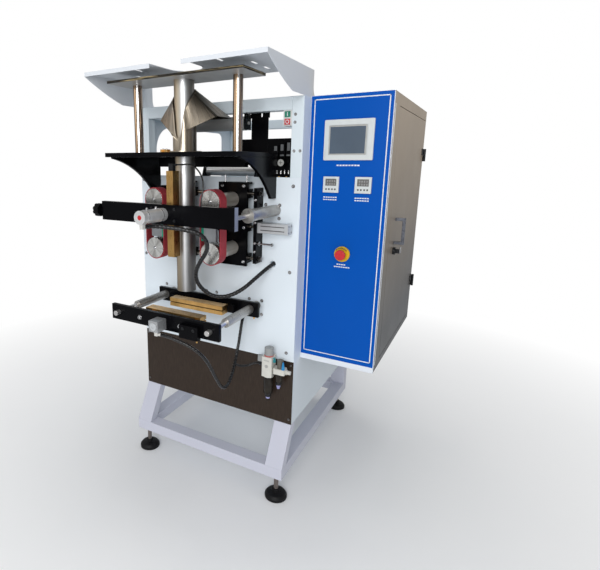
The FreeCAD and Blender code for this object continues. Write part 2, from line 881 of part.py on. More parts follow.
def jaw_sleeves():
    """Guide sleeves of the jaws, through the front panel."""
    shapes = []
    back = front_sheet + jaw_sleeve_inside
    for x in (-jaw_shaft_x, jaw_shaft_x):
        sleeve = rod_y(-jaw_sleeve_reach, back, x, jaw_shaft_z, jaw_sleeve_diameter / 2)
        bore = rod_y(-jaw_sleeve_reach, back, x, jaw_shaft_z, jaw_shaft_diameter / 2 + fit_gap)
        shapes.append(sleeve.cut(bore))
    return group(shapes)


def jaw_plate(front, hole):
    """Black crosswise plate of a jaw, with holes of this radius at the shafts."""
    plate = block(-jaw_plate_half, jaw_plate_half, front, front + jaw_plate_thick,
                  jaw_plate_bottom, jaw_plate_bottom + jaw_plate_height)
    for x in (-jaw_shaft_x, jaw_shaft_x):
        plate = plate.cut(rod_y(front, front + jaw_plate_thick, x, jaw_shaft_z, hole))
    return plate


def end_blocks(y0, y1):
    """Holders at both ends of a jaw, against its plate."""
    x0 = jaw_half + jaw_end_gap
    middle = jaw_bottom + jaw_height / 2
    holder = block(x0, x0 + jaw_end_width, y0, y1, middle - jaw_end_height / 2, middle + jaw_end_height / 2)
    return [holder, mirrored(holder)]


def front_plate():
    """Front jaw's plate with the thick clamp beside the cylinder."""
    clamp = block(clamp_left, clamp_right, front_plate_front - clamp_proud, front_plate_front,
                  clamp_bottom, clamp_top)
    back = front_plate_front + jaw_plate_thick
    plate = jaw_plate(front_plate_front, jaw_shaft_diameter / 2)
    return plate.fuse([clamp] + end_blocks(back, back + jaw_end_depth))


def rear_plate(hole):
    """Rear jaw's plate, with holes of this radius round the sleeves."""
    holders = end_blocks(rear_plate_front - jaw_end_depth, rear_plate_front)
    return jaw_plate(rear_plate_front, hole).fuse(holders)


def jaw_block(back):
    """Heated brass jaw with the knife slot along its closing face, closing towards +y of its body."""
    bar = block(-jaw_half, jaw_half, back - jaw_depth, back, jaw_bottom, jaw_bottom + jaw_height)
    middle = jaw_bottom + jaw_height / 2
    slot = block(-jaw_half, jaw_half, back - jaw_slot_depth, back, middle - jaw_slot / 2, middle + jaw_slot / 2)
    return bar.cut(slot)


def front_jaw():
    """Front jaw and the bolts that hold it to the front plate."""
    shape = jaw_block(front_jaw_back)
    y0 = front_plate_front + jaw_plate_thick
    y1 = front_jaw_back - jaw_depth
    z = jaw_bottom + jaw_height / 2
    return shape.fuse([rod_y(y0, y1, x, z, jaw_bolt_diameter / 2) for x in (-jaw_bolt_x, jaw_bolt_x)])


def rear_jaw():
    """Rear jaw and the bolts that hold it to the rear plate."""
    bar = block(-jaw_half, jaw_half, rear_jaw_front, rear_jaw_front + jaw_depth,
                jaw_bottom, jaw_bottom + jaw_height)
    middle = jaw_bottom + jaw_height / 2
    slot = block(-jaw_half, jaw_half, rear_jaw_front, rear_jaw_front + jaw_slot_depth,
                 middle - jaw_slot / 2, middle + jaw_slot / 2)
    y0 = rear_jaw_front + jaw_depth
    bolts = [rod_y(y0, rear_plate_front, x, middle, jaw_bolt_diameter / 2) for x in (-jaw_bolt_x, jaw_bolt_x)]
    return bar.cut(slot).fuse(bolts)


def jaw_shafts():
    """Shafts that pull the front plate, running inside the sleeves."""
    return group([rod_y(front_plate_front - 22, front_sheet + 20, x, jaw_shaft_z, jaw_shaft_diameter / 2)
                  for x in (-jaw_shaft_x, jaw_shaft_x)])


def knife_cylinder():
    """Square short-stroke cylinder on the front plate, which drives the cut-off knife."""
    half = knife_cylinder_size / 2
    z = jaw_plate_bottom + jaw_plate_height / 2 - knife_cylinder_drop
    body = block(knife_cylinder_x - half, knife_cylinder_x + half, front_plate_front - knife_cylinder_length,
                 front_plate_front, z - half, z + half)
    x, y, low = jaw_hose_start()
    side = knife_cylinder_x + elbow_radius
    elbow = block(knife_cylinder_x - elbow_radius, side, y - elbow_radius, y + elbow_radius, low - elbow_radius,
                  z - half)
    return body.fuse([elbow, rod_x(side, x, y, low, elbow_radius * 0.85)])


def jaw_hose_start():
    """Middle of the end face of the elbow under the cylinder."""
    z = jaw_plate_bottom + jaw_plate_height / 2 - knife_cylinder_drop - knife_cylinder_size / 2
    return knife_cylinder_x + elbow_reach, front_plate_front - knife_cylinder_length * 0.6, z - elbow_drop


def cabinet_sides():
    """Outer faces of the cabinet in x."""
    left = body_width / 2
    return left, left + cabinet_width


def cabinet_front():
    """Front plate of the cabinet."""
    left, right = cabinet_sides()
    return block(left, right, cabinet_front_y, cabinet_front_y + cabinet_sheet, cabinet_bottom, cabinet_top)


def cabinet_rear():
    """Rear plate of the cabinet."""
    left, right = cabinet_sides()
    return block(left, right, cabinet_back_y - cabinet_sheet, cabinet_back_y, cabinet_bottom, cabinet_top)


def cabinet_left():
    """Plate against the body."""
    left = cabinet_sides()[0]
    return block(left, left + cabinet_sheet, cabinet_front_y + cabinet_sheet, cabinet_back_y - cabinet_sheet,
                 cabinet_bottom, cabinet_top)


def cabinet_caps():
    """Top and bottom plates of the cabinet."""
    left, right = cabinet_sides()
    y0 = cabinet_front_y + cabinet_sheet
    y1 = cabinet_back_y - cabinet_sheet
    x0 = left + cabinet_sheet
    return group([block(x0, right, y0, y1, cabinet_bottom, cabinet_bottom + cabinet_sheet),
                  block(x0, right, y0, y1, cabinet_top - cabinet_sheet, cabinet_top)])


def cabinet_door_frame():
    """Rim of the right side round the door opening."""
    right = cabinet_sides()[1]
    x0 = right - cabinet_sheet
    plate = block(x0, right, cabinet_front_y + cabinet_sheet, cabinet_back_y - cabinet_sheet,
                  cabinet_bottom + cabinet_sheet, cabinet_top - cabinet_sheet)
    hole = block(x0, right, door_front_y - door_gap, door_rear_y + door_gap, door_bottom - door_gap,
                 door_top + door_gap)
    return plate.cut(hole)


def cabinet_door():
    """Door plate with folded edges."""
    right = cabinet_sides()[1]
    outer = block(right - door_lip, right, door_front_y, door_rear_y, door_bottom, door_top)
    inner = block(right - door_lip, right - cabinet_sheet, door_front_y + cabinet_sheet, door_rear_y - cabinet_sheet,
                  door_bottom + cabinet_sheet, door_top - cabinet_sheet)
    return outer.cut(inner)


def hinge_pins():
    """Fixed half of each hinge: leaf on the cabinet's back, lower knuckle and pin."""
    right = cabinet_sides()[1]
    x = right + hinge_axis_out
    shapes = []
    for z in (hinge_low, hinge_high):
        leaf = block(right - hinge_leaf_rear, x, cabinet_back_y, cabinet_back_y + 3, z - hinge_height / 2, z)
        knuckle = rod_z(z - hinge_height / 2, z, x, hinge_axis_y, hinge_radius)
        web = block(x - 3, x + 3, hinge_axis_y, cabinet_back_y + 3, z - hinge_height / 2, z)
        pin = rod_z(z, z + hinge_height / 2, x, hinge_axis_y, hinge_pin_radius)
        shapes.append(leaf.fuse([knuckle, web, pin]).removeSplitter())
    return group(shapes)


def hinge_leaves():
    """Moving half of each hinge: leaf on the door and upper knuckle."""
    right = cabinet_sides()[1]
    x = right + hinge_axis_out
    shapes = []
    for z in (hinge_low, hinge_high):
        low = z + fit_gap
        top = z + hinge_height / 2
        leaf = block(right, right + 4, door_rear_y - hinge_leaf_door, hinge_axis_y, low, top)
        knuckle = rod_z(low, top, x, hinge_axis_y, hinge_radius)
        web = block(right, x, hinge_axis_y - 4, hinge_axis_y, low, top)
        hole = rod_z(low, top, x, hinge_axis_y, hinge_pin_radius + fit_gap)
        shapes.append(leaf.fuse([web, knuckle]).cut(hole).removeSplitter())
    return group(shapes)


def bridge_handle():
    """Square handle with two legs."""
    right = cabinet_sides()[1]
    half = handle_bar / 2
    legs = [block(right, right + handle_reach, handle_y - half, handle_y + half, z, z + handle_bar)
            for z in (handle_low, handle_high - handle_bar)]
    grip = block(right + handle_reach - handle_bar, right + handle_reach, handle_y - half, handle_y + half,
                 handle_low, handle_high)
    return grip.fuse(legs).removeSplitter()


def cam_lock():
    """Lock under the handle, with its key."""
    right = cabinet_sides()[1]
    body = rod_x(right, right + 10, handle_y, lock_z, lock_radius)
    return body.fuse(block(right + 10, right + 26, handle_y - 2, handle_y + 2, lock_z - 9, lock_z + 9))


def operator_screen():
    """Touch panel's bezel, with the glass set back in it."""
    half_w = screen_width / 2
    half_h = screen_height / 2
    front = cabinet_front_y - screen_proud
    bezel = block(screen_x - half_w, screen_x + half_w, front, cabinet_front_y,
                  screen_z - half_h, screen_z + half_h)
    edges = [e for e in bezel.Edges if abs(e.tangentAt(e.FirstParameter).y) > 0.9]
    bezel = bezel.makeFillet(4, edges)
    glass = block(screen_x - half_w + 22, screen_x + half_w - 22, front, front + 2,
                  screen_z - half_h + 20, screen_z + half_h - 20)
    return bezel.cut(glass)


def controllers():
    """Two square controllers in the cabinet's front."""
    half = controller_size / 2
    return [block(x - half, x + half, cabinet_front_y - controller_proud, cabinet_front_y,
                  controller_z - half, controller_z + half) for x in (controller_left_x, controller_right_x)]


def estop_base():
    """Ring that the emergency stop stands in."""
    y0 = cabinet_front_y - estop_ring_thick
    ring = rod_y(y0, cabinet_front_y, estop_x, estop_z, estop_ring / 2)
    y1 = y0 - estop_travel_room
    ring = ring.fuse(rod_y(y1 - 4, y0, estop_x, estop_z, estop_button_radius * 0.55))
    return ring.cut(rod_y(y1 - 4, cabinet_front_y, estop_x, estop_z, 5 + fit_gap))


def estop_button():
    """Red mushroom head and its stem."""
    y0 = cabinet_front_y - estop_ring_thick - estop_travel_room
    head = rod_y(y0 - estop_button_height, y0 - 10, estop_x, estop_z, estop_button_radius)
    return head.fuse(rod_y(y0 - 10, cabinet_front_y - estop_travel_room - 1, estop_x, estop_z, 5))


def roller_brackets():
    """Plates under the front crossbar that hold the film roller's shaft."""
    top = body_top - rail_height
    x0 = roller_half + roller_end_gap
    plate = block(x0, x0 + roller_plate_thick, roller_y - roller_plate_half, roller_y + roller_plate_half,
                  roller_z - roller_plate_half, top)
    plate = plate.cut(rod_x(x0, x0 + roller_plate_thick, roller_y, roller_z, roller_shaft_radius + fit_gap))
    arm = roller_arm(x0)
    return group([plate, mirrored(plate), arm, mirrored(arm)])


def roller_arm(x0):
    """Arm inside the front panel that carries the lower roller's shaft."""
    low = panel_top - 40
    reach = lower_roller_y + roller_plate_half
    rise = lower_roller_y - roller_plate_half
    points = [Vector(x0, front_sheet, low), Vector(x0, reach, low), Vector(x0, reach, lower_roller_z + 18),
              Vector(x0, rise, lower_roller_z + 18), Vector(x0, rise - 15, panel_top - 4),
              Vector(x0, front_sheet, panel_top - 4)]
    arm = outline(points).extrude(Vector(roller_plate_thick, 0, 0))
    hole = rod_x(x0, x0 + roller_plate_thick, lower_roller_y, lower_roller_z, roller_shaft_radius + fit_gap)
    return arm.cut(hole)


def roller(y, z, radius):
    """Film roller on its shaft."""
    x1 = roller_half + roller_end_gap + roller_plate_thick + 4
    return rod_x(-roller_half, roller_half, y, z, radius).fuse(rod_x(-x1, x1, y, z, roller_shaft_radius))


def hanger_plate():
    """Black plate behind the crossbar, hung by its slotted top."""
    y0 = front_sheet + column_size
    y1 = y0 + hanger_thick
    plate = block(hanger_left, hanger_right, y0, y1, hanger_bottom, hanger_tab_bottom)
    plate = plate.fuse(block(hanger_tab_left, hanger_tab_right, y0, y1, hanger_tab_bottom, hanger_tab_top))
    plate = plate.fuse(block(hanger_side_left, hanger_left, y0, y1, hanger_side_bottom, hanger_side_top))
    for x in (hanger_tab_left + 7, hanger_right - 29):
        plate = plate.cut(block(x - 3, x + 3, y0, y1, hanger_tab_bottom + 4, hanger_tab_bottom + 18))
    return plate.removeSplitter()


def valve_panel():
    """Plate behind the right column, with three valves, a regulator and the outlet block."""
    y0 = front_sheet + column_size
    front = y0 - valve_depth
    shapes = []
    for i in range(3):
        x = valve_first + i * valve_pitch
        low = gauge_z + gauge_radius + 6
        shapes.append(block(x, x + valve_width, front, y0, low, low + 48 + 9 * i))
    shapes.append(rod_y(front - 6, y0, gauge_x, gauge_z, gauge_radius))
    shapes.append(block(valve_first + 6, valve_first + 72, y0 - valve_depth / 2, y0, valve_bottom + 24,
                        valve_bottom + 34))
    plate = block(valve_left, valve_right, y0, y0 + valve_thick, valve_bottom, valve_top)
    return plate.fuse(shapes).removeSplitter()


def mains_switch():
    """Push-button switch in the corner of the crossbar and the right column."""
    half = frame_inner()[0] - column_size
    top = body_top - rail_height
    y1 = switch_front + switch_depth
    box = block(switch_left, half, switch_front, y1, switch_bottom, top)
    middle = (switch_left + half) / 2
    size = (half - switch_left) * 0.27
    for z in (switch_bottom + (top - switch_bottom) * 0.27, switch_bottom + (top - switch_bottom) * 0.73):
        box = box.fuse(block(middle - size, middle + size, switch_front - 3, switch_front, z - size, z + size))
    return box


def bowl(x, top, bottom, radius):
    """Filter bowl with a round end, its clasp and drain, as one turned piece."""
    points = [(0, top), (radius, top), (radius, bottom + radius * 0.5), (radius * 0.8, bottom + radius * 0.12),
              (radius * 0.48, bottom), (radius * 0.48, bottom - 11), (radius * 0.36, bottom - 12),
              (radius * 0.36, bottom - 28), (0, bottom - 28)]
    face = outline([Vector(x + r, unit_y, z) for r, z in points])
    return face.revolve(Vector(x, unit_y, 0), Vector(0, 0, 1), 360)


def upright_fillet(shape, radius):
    """Shape with its upright edges rounded."""
    return shape.makeFillet(radius, [e for e in shape.Edges if abs(e.tangentAt(e.FirstParameter).z) > 0.9])


def regulator():
    """Filter-regulator: body, knob, bowl, the bracket behind it and the inlet on its left."""
    half = regulator_width / 2
    x0 = regulator_x - half
    x1 = regulator_x + half
    y0 = unit_y - regulator_depth / 2
    y1 = unit_y + regulator_depth / 2
    body = upright_fillet(block(x0, x1, y0, y1, regulator_bottom, regulator_top), 5)
    knob_top = regulator_top + regulator_knob_height
    knob = rod_z(regulator_top, knob_top, regulator_x, unit_y, regulator_knob_radius)
    bracket = block(regulator_x - half / 2, regulator_x + half / 2, y1, 0, inlet_z, inlet_z + 25)
    inlet = rod_x(x0 - inlet_reach, x0, unit_y, inlet_z, inlet_radius)
    gauge = block(x0 - inlet_reach - 4, x0, unit_y - 8, unit_y + 8, inlet_z + inlet_radius + 3, inlet_z + 36)
    return body.fuse([knob, bracket, inlet, gauge, bowl(regulator_x, regulator_bottom, regulator_bowl_bottom,
                                                        regulator_bowl_radius)])


def oiler():
    """Second, smaller unit beside the regulator: body, knob, sight dome, bowl and outlet."""
    half = oiler_width / 2
    x0 = oiler_x - half
    x1 = oiler_x + half
    y0 = unit_y - oiler_depth / 2
    y1 = unit_y + oiler_depth / 2
    body = upright_fillet(block(x0, x1, y0, y1, oiler_bottom, oiler_top), 6)
    knob = rod_z(oiler_top, oiler_top + oiler_knob_height, x0 + half, unit_y, oiler_knob_radius)
    dome = Part.makeCone(8, 3, oiler_knob_height * 0.85, Vector(x1 - 9, y0 + 10, oiler_top))
    joint = rod_x(regulator_x + regulator_width / 2, x0, unit_y, (oiler_bottom + oiler_top) / 2, inlet_radius)
    outlet = rod_x(x1, x1 + inlet_reach, unit_y, (oiler_bottom + oiler_top) / 2, inlet_radius)
    return body.fuse([knob, dome, joint, outlet, bowl(oiler_x - 5, oiler_bottom, oiler_bowl_bottom,
                                                      oiler_bowl_radius)])


def cord_tube(name, points, diameter):
    """Tube along straight runs joined by tangent arcs, each as large as its two runs allow."""
    edges = []
    radii = []
    start = points[0]
    for before, at, after in zip(points, points[1:], points[2:]):
        u = before - at
        v = after - at
        run = min(u.Length, v.Length)
        u.normalize()
        v.normalize()
        half_turn = (math.pi - u.getAngle(v)) / 2
        radius = 0.45 * run / math.tan(half_turn)
        into = (u + v).normalize()
        first = at + u * (0.45 * run)
        last = at + v * (0.45 * run)
        middle = at + into * (radius / math.cos(half_turn) - radius)
        edges += [Part.LineSegment(start, first).toShape(), Part.Arc(first, middle, last).toShape()]
        radii.append(radius)
        start = last
    edges.append(Part.LineSegment(start, points[-1]).toShape())
    path = Part.Wire(edges)
    ring = Part.Wire([Part.Circle(points[0], points[1] - points[0], diameter / 2).toShape()])
    tube = path.makePipeShell([ring], True, False)
    share = tube.Volume / (math.pi * diameter ** 2 / 4 * path.Length)
    print(name, "length", round(path.Length), "radii", [round(r) for r in radii], "volume share", round(share, 3))
    return tube


def seal_hose():
    """Spiral-wrapped bundle from the seal cylinder round the right belt unit into the front panel."""
    x, y, z = seal_hose_start()
    route = [(x, y, z), (x, y + 27, z), (14, -400, 1201), (42, -382, 1197), (78, -368, 1194),
             (116, -353, 1187), (146, -335, 1179), (164, -316, 1156), (165, -303, 1124), (148, -294, 1096),
             (118, -288, 1060), (92, -277, 1016), (86, -257, 974), (100, -230, 936), (134, -207, 911),
             (178, -178, 911), (220, -136, 936),
             (250, -84, 975), (272, -40, 1004), (bundle_hole_x, 0, bundle_hole_z),
             (bundle_hole_x + 7, 30, bundle_hole_z + 9)]
    return cord_tube("seal_hose", [Vector(*p) for p in route], bundle_diameter)


def jaw_hose():
    """Hose from the knife cylinder down in a loop and up into the front panel."""
    x, y, z = jaw_hose_start()
    route = [(x, y, z), (x + 32, y, z), (94, -393, 784), (134, -384, 771), (166, -371, 748),
             (186, -354, 718), (194, -333, 680), (197, -308, 636), (200, -286, 600), (201, -264, 571),
             (200, -236, 556), (197, -205, 557), (191, -173, 570), (183, -140, 586), (174, -110, 605),
             (167, -84, 632), (166, -66, 668), (168, -56, 714), (167, -42, 757), (163, -18, 786),
             (jaw_hose_hole_x, 12, jaw_hose_hole_z + 7)]
    return cord_tube("jaw_hose", [Vector(*p) for p in route], jaw_hose_diameter)


def feed_hose():
    """Corrugated hose from the jaw hose to the air unit's inlet."""
    x = regulator_x - regulator_width / 2 - inlet_reach
    route = [(173, -112, 603), (181, -92, 588), (195, -69, 580), (214, -50, 583), (232, -40, 593),
             (x, unit_y, inlet_z)]
    return cord_tube("feed_hose", [Vector(*p) for p in route], feed_hose_diameter)


def seal_cable():
    """Cable from the bar's terminal over to the right and down to the arm."""
    x, y, z = cable_start()
    route = [(x, y, z), (x + 20, y, z), (56, -293, 1414), (78, -297, 1415), (101, -303, 1411),
             (124, -311, 1401), (145, -318, 1384), (158, -323, 1362), (164, -328, 1338), (163, -333, 1314),
             (160, arm_back - arm_thick / 2, 1293), (160, arm_back - arm_thick / 2, arm_top)]
    return cord_tube("seal_cable", [Vector(*p) for p in route], cable_diameter)


def build_nodes():
    """Every named piece, in the layout's own place."""
    pulleys = right_pulleys()
    belt = right_belt()
    carriage = right_carriage()
    sleeve_hole = jaw_sleeve_diameter / 2 + fit_gap
    instruments = [operator_screen()] + controllers()
    return {
        "base_rails": base_rails(),
        "base_legs": base_legs(),
        "levelling_feet": levelling_feet(),
        "columns": columns(),
        "cross_rails": cross_rails(),
        "side_rails": side_rails(),
        "bottom_plate": bottom_plate(),
        "front_panel": front_panel(),
        "lower_panel": lower_panel(),
        "side_panels": group([side_sheet(True), mirrored(side_sheet(False))]),
        "rear_panel": rear_panel(),
        "canopy": canopy(),
        "top_plate": top_plate(),
        "plate_posts": plate_posts(),
        "forming_tube": forming_tube(),
        "forming_collar": forming_collar(),
        "support_plate": support_plate(),
        "support_brackets": support_brackets(),
        "rod_end_plates": rod_end_plates(),
        "belt_guide_rods": belt_guide_rods(),
        "air_cylinders": group([belt_cylinder(), seal_cylinder()]),
        "right_pulleys": pulleys,
        "right_belt": belt,
        "right_carriage": carriage.fuse(belt_piston()),
        "left_pulleys": mirrored(pulleys),
        "left_belt": mirrored(belt),
        "left_carriage": mirrored(carriage),
        "seal_arm": seal_arm(),
        "seal_arm_support": seal_arm_support(),
        "seal_bar": seal_bar(),
        "jaw_sleeves": jaw_sleeves(),
        "front_jaw_plate": front_plate(),
        "rear_jaw_plate": rear_plate(sleeve_hole),
        "front_jaw": front_jaw(),
        "rear_jaw": rear_jaw(),
        "jaw_shafts": jaw_shafts(),
        "knife_cylinder": knife_cylinder(),
        "cabinet_front": cabinet_front(),
        "cabinet_rear": cabinet_rear(),
        "cabinet_left": cabinet_left(),
        "cabinet_caps": cabinet_caps(),
        "cabinet_door_frame": cabinet_door_frame(),
        "cabinet_door": cabinet_door(),
        "hinge_pins": hinge_pins(),
        "hinge_leaves": hinge_leaves(),
        "door_handle": group([bridge_handle(), cam_lock()]),
        "cabinet_instruments": group(instruments),
        "estop_base": estop_base(),
        "estop_button": estop_button(),
        "roller_brackets": roller_brackets(),
        "guide_roller": roller(roller_y, roller_z, roller_radius),
        "lower_roller": roller(lower_roller_y, lower_roller_z, lower_roller_radius),
        "hanger_plate": hanger_plate(),
        "valve_panel": valve_panel(),
        "mains_switch": mains_switch(),
        "air_service_unit": regulator().fuse(oiler()),
        "seal_hose": seal_hose(),
        "jaw_hose": jaw_hose(),
        "feed_hose": feed_hose(),
        "seal_cable": seal_cable(),
    }


def origin_shift(nodes):
    """Move that brings the middle of the whole box's floor side to the origin."""
    box = FreeCAD.BoundBox()
    for shape in nodes.values():
        box.add(shape.optimalBoundingBox(False, False))
    return Vector(-(box.XMin + box.XMax) / 2, -(box.YMin + box.YMax) / 2, -box.ZMin)


os.makedirs("parts", exist_ok=True)
NODES = build_nodes()
SHIFT = origin_shift(NODES)
for name, shape in NODES.items():
    shape.translate(SHIFT)
    shape.exportStep("parts/" + name + ".step")
print("origin shift", round(SHIFT.x, 3), round(SHIFT.y, 3), round(SHIFT.z, 3))
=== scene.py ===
import math

import bmesh
import bpy
import numpy as np
from mathutils import Matrix, Vector


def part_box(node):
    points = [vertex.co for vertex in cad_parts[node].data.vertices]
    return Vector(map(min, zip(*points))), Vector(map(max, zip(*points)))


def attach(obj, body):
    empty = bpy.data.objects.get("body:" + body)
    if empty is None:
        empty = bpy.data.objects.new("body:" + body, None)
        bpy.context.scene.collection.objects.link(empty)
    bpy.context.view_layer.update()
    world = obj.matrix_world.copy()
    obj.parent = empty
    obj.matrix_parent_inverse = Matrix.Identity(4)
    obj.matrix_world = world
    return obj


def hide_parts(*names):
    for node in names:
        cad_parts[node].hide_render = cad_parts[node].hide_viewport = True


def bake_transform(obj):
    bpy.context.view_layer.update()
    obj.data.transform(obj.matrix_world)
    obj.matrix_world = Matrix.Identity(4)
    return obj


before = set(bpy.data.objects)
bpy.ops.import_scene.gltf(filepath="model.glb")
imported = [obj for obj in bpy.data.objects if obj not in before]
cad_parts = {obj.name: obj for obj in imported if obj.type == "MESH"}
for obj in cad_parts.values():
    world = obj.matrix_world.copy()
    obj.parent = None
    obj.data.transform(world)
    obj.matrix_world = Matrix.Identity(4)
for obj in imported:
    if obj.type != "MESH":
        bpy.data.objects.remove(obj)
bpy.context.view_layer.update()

# The camera stands right of the machine, a little above its middle, and looks left and down at it.
# Place, three turns and lens were fitted to the machine's straight edges.
eye = Vector((0.85723, -1.85125, 1.41575))
picture_width, picture_height = 600, 570
lens_px, middle_px, sensor = 452.74, (216.88, 265.14), 36.0
turn, tilt, roll = math.radians(31.32), math.radians(-12.59), math.radians(0.08)
ahead = Vector((-math.sin(turn) * math.cos(tilt), math.cos(turn) * math.cos(tilt), math.sin(tilt)))
level = Vector((math.cos(turn), math.sin(turn), 0.0))
upward = level.cross(ahead)
across = level * math.cos(roll) + upward * math.sin(roll)
above = upward * math.cos(roll) - level * math.sin(roll)
camera = bpy.data.objects.new("camera", bpy.data.cameras.new("camera"))
camera.matrix_world = Matrix(((across.x, above.x, -ahead.x, eye.x), (across.y, above.y, -ahead.y, eye.y),
                              (across.z, above.z, -ahead.z, eye.z), (0, 0, 0, 1)))
camera.data.sensor_width = sensor
camera.data.lens = lens_px / picture_width * sensor
camera.data.shift_x = (picture_width / 2 - middle_px[0]) / picture_width
camera.data.shift_y = (middle_px[1] - picture_height / 2) / picture_width
bpy.context.scene.collection.objects.link(camera)
bpy.context.scene.camera = camera
bpy.context.scene.view_settings.view_transform = "Standard"

# Hoses and cable. Spiral-wrapped bundles run from the sealing cylinder and, in a low loop, from the knife's
# cylinder into the front panel, a corrugated hose from that loop to the air unit, and a thin cable from the
# sealing bar's terminal to the arm. All are black soft plastic over tube or wire, pushed on fittings.
panel_low, panel_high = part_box("front_panel")
panel_middle = (panel_low.x + panel_high.x) / 2
panel_face = panel_low.y


def placed(points):
    """Millimetres from the panel's middle, its face and the floor, as metres in the frame."""
    return np.asarray(points, float) / 1000 + (panel_middle, panel_face, 0.0)


def shader(name):
    """New material, its node tree and its principled shader."""
    material = bpy.data.materials.new(name)
    material.use_nodes = True
    return material, material.node_tree, material.node_tree.nodes["Principled BSDF"]


def node(tree, kind, settings=(), values=()):
    """New node of that kind, with the named settings and the named input values."""
    made = tree.nodes.new(kind)
    for key, value in dict(settings).items():
        setattr(made, key, value)
    for key, value in dict(values).items():
        made.inputs[key].default_value = value
    return made


def link(output, entry):
    """Joins an output socket to an input socket of its tree."""
    entry.id_data.links.new(output, entry)


def coordinate(tree, kind="Object"):
    """Socket of the object's own coordinates, or of its normals."""
    return node(tree, "ShaderNodeTexCoord").outputs[kind]


def split(vector):
    """The x, y and z sockets of a vector socket."""
    parts = node(vector.id_data, "ShaderNodeSeparateXYZ")
    link(vector, parts.inputs[0])
    return parts.outputs


def maths(operation, value, other=None):
    """Math node of a value socket and another socket or number; returned as its own socket."""
    result = node(value.id_data, "ShaderNodeMath", {"operation": operation})
    link(value, result.inputs[0])
    if isinstance(other, bpy.types.NodeSocket):
        link(other, result.inputs[1])
    elif other is not None:
        result.inputs[1].default_value = other
    return result.outputs["Value"]


def mottle(tree, scale, detail=3.0, stretch=(1.0, 1.0, 1.0)):
    """Noise over the object's own coordinates, stretched per axis; returned as its value socket."""
    size = node(tree, "ShaderNodeMapping", values={"Scale": stretch})
    noise = node(tree, "ShaderNodeTexNoise", values={"Scale": scale, "Detail": detail, "Roughness": 0.55})
    link(coordinate(tree), size.inputs["Vector"])
    link(size.outputs["Vector"], noise.inputs["Vector"])
    return noise.outputs["Fac"]


def spread(value, low, high, start=0.3, stop=0.7):
    """Value between start and stop spread over low to high; returned as a socket."""
    reach = node(value.id_data, "ShaderNodeMapRange",
                 values={"From Min": start, "From Max": stop, "To Min": low, "To Max": high})
    link(value, reach.inputs["Value"])
    return reach.outputs["Result"]


def blended(factor, one, two):
    """Colour one where the factor is 0 and colour two where it is 1; a colour may be a socket."""
    mix = node(factor.id_data, "ShaderNodeMix", {"data_type": "RGBA"})
    link(factor, mix.inputs["Factor"])
    for slot, colour in (("A", one), ("B", two)):
        socket = [s for s in mix.inputs if s.name == slot and s.type == "RGBA"][0]
        if isinstance(colour, bpy.types.NodeSocket):
            link(colour, socket)
        else:
            socket.default_value = (*colour, 1.0)
    return [s for s in mix.outputs if s.type == "RGBA"][0]


def raised(surface, height, distance, strength=0.5):
    """Bump of that height socket on the shader's normal."""
    bump = node(surface.id_data, "ShaderNodeBump", values={"Distance": distance, "Strength": strength})
    link(height, bump.inputs["Height"])
    link(bump.outputs["Normal"], surface.inputs["Normal"])


def plastic(name, colour, rough, shade=0.8, scale=30.0, specular=0.5, bump=0.0002):
    """Moulded plastic or rubber: colour shifts softly to a shaded tone, fine grain in gloss and height."""
    material, tree, surface = shader(name)
    dark = tuple(c * shade for c in colour)
    link(blended(spread(mottle(tree, scale), 0.0, 1.0), colour, dark), surface.inputs["Base Color"])
    link(spread(mottle(tree, scale * 7), rough * 0.85, rough * 1.15), surface.inputs["Roughness"])
    surface.inputs["Specular IOR Level"].default_value = specular
    raised(surface, mottle(tree, 900.0, 2.0), bump)
    return material


def line_of(route):
    """Points every 1.5 mm along the line of order 3 that has the route as its control points."""
    data = bpy.data.curves.new("line", "CURVE")
    data.dimensions = "3D"
    data.resolution_u = 16
    spline = data.splines.new("NURBS")
    spline.points.add(len(route) - 1)
    spline.points.foreach_set("co", np.column_stack([route, np.ones(len(route))]).ravel())
    spline.order_u = 3
    spline.use_endpoint_u = True
    holder = bpy.data.objects.new("line", data)
    mesh = bpy.data.meshes.new_from_object(holder)
    points = np.zeros(len(mesh.vertices) * 3)
    mesh.vertices.foreach_get("co", points)
    points = points.reshape(-1, 3)
    bpy.data.objects.remove(holder)
    bpy.data.meshes.remove(mesh)
    reach = np.concatenate([[0.0], np.cumsum(np.linalg.norm(np.diff(points, axis=0), axis=1))])
    even = np.linspace(0.0, reach[-1], max(int(reach[-1] / 0.0015), 8))
    return np.column_stack([np.interp(even, reach, points[:, axis]) for axis in range(3)])


def hose_grid(line, radius, sides, profile):
    """Rings across a line, one on each point, square to the line and turned as little as can be from the one
    before; a ring's radius is the hose's times profile(length along the line, angle round it)."""
    ahead_of = np.gradient(line, axis=0)
    ahead_of /= np.linalg.norm(ahead_of, axis=1)[:, None]
    side = np.zeros_like(line)
    start = np.cross(ahead_of[0], (0.0, 0.3, 1.0))
    for i, direction in enumerate(ahead_of):
        start = start - direction * (start @ direction)
        start = start / np.linalg.norm(start)
        side[i] = start
    other = np.cross(ahead_of, side)
    angle = np.linspace(0.0, 2 * math.pi, sides, endpoint=False)
    reach = np.arange(len(line)) * np.linalg.norm(line[1] - line[0])
    size = radius * np.broadcast_to(profile(reach[:, None], angle[None, :]), (len(line), sides))
    ring = side[:, None] * np.cos(angle)[None, :, None] + other[:, None] * np.sin(angle)[None, :, None]
    return line[:, None] + ring * size[:, :, None]


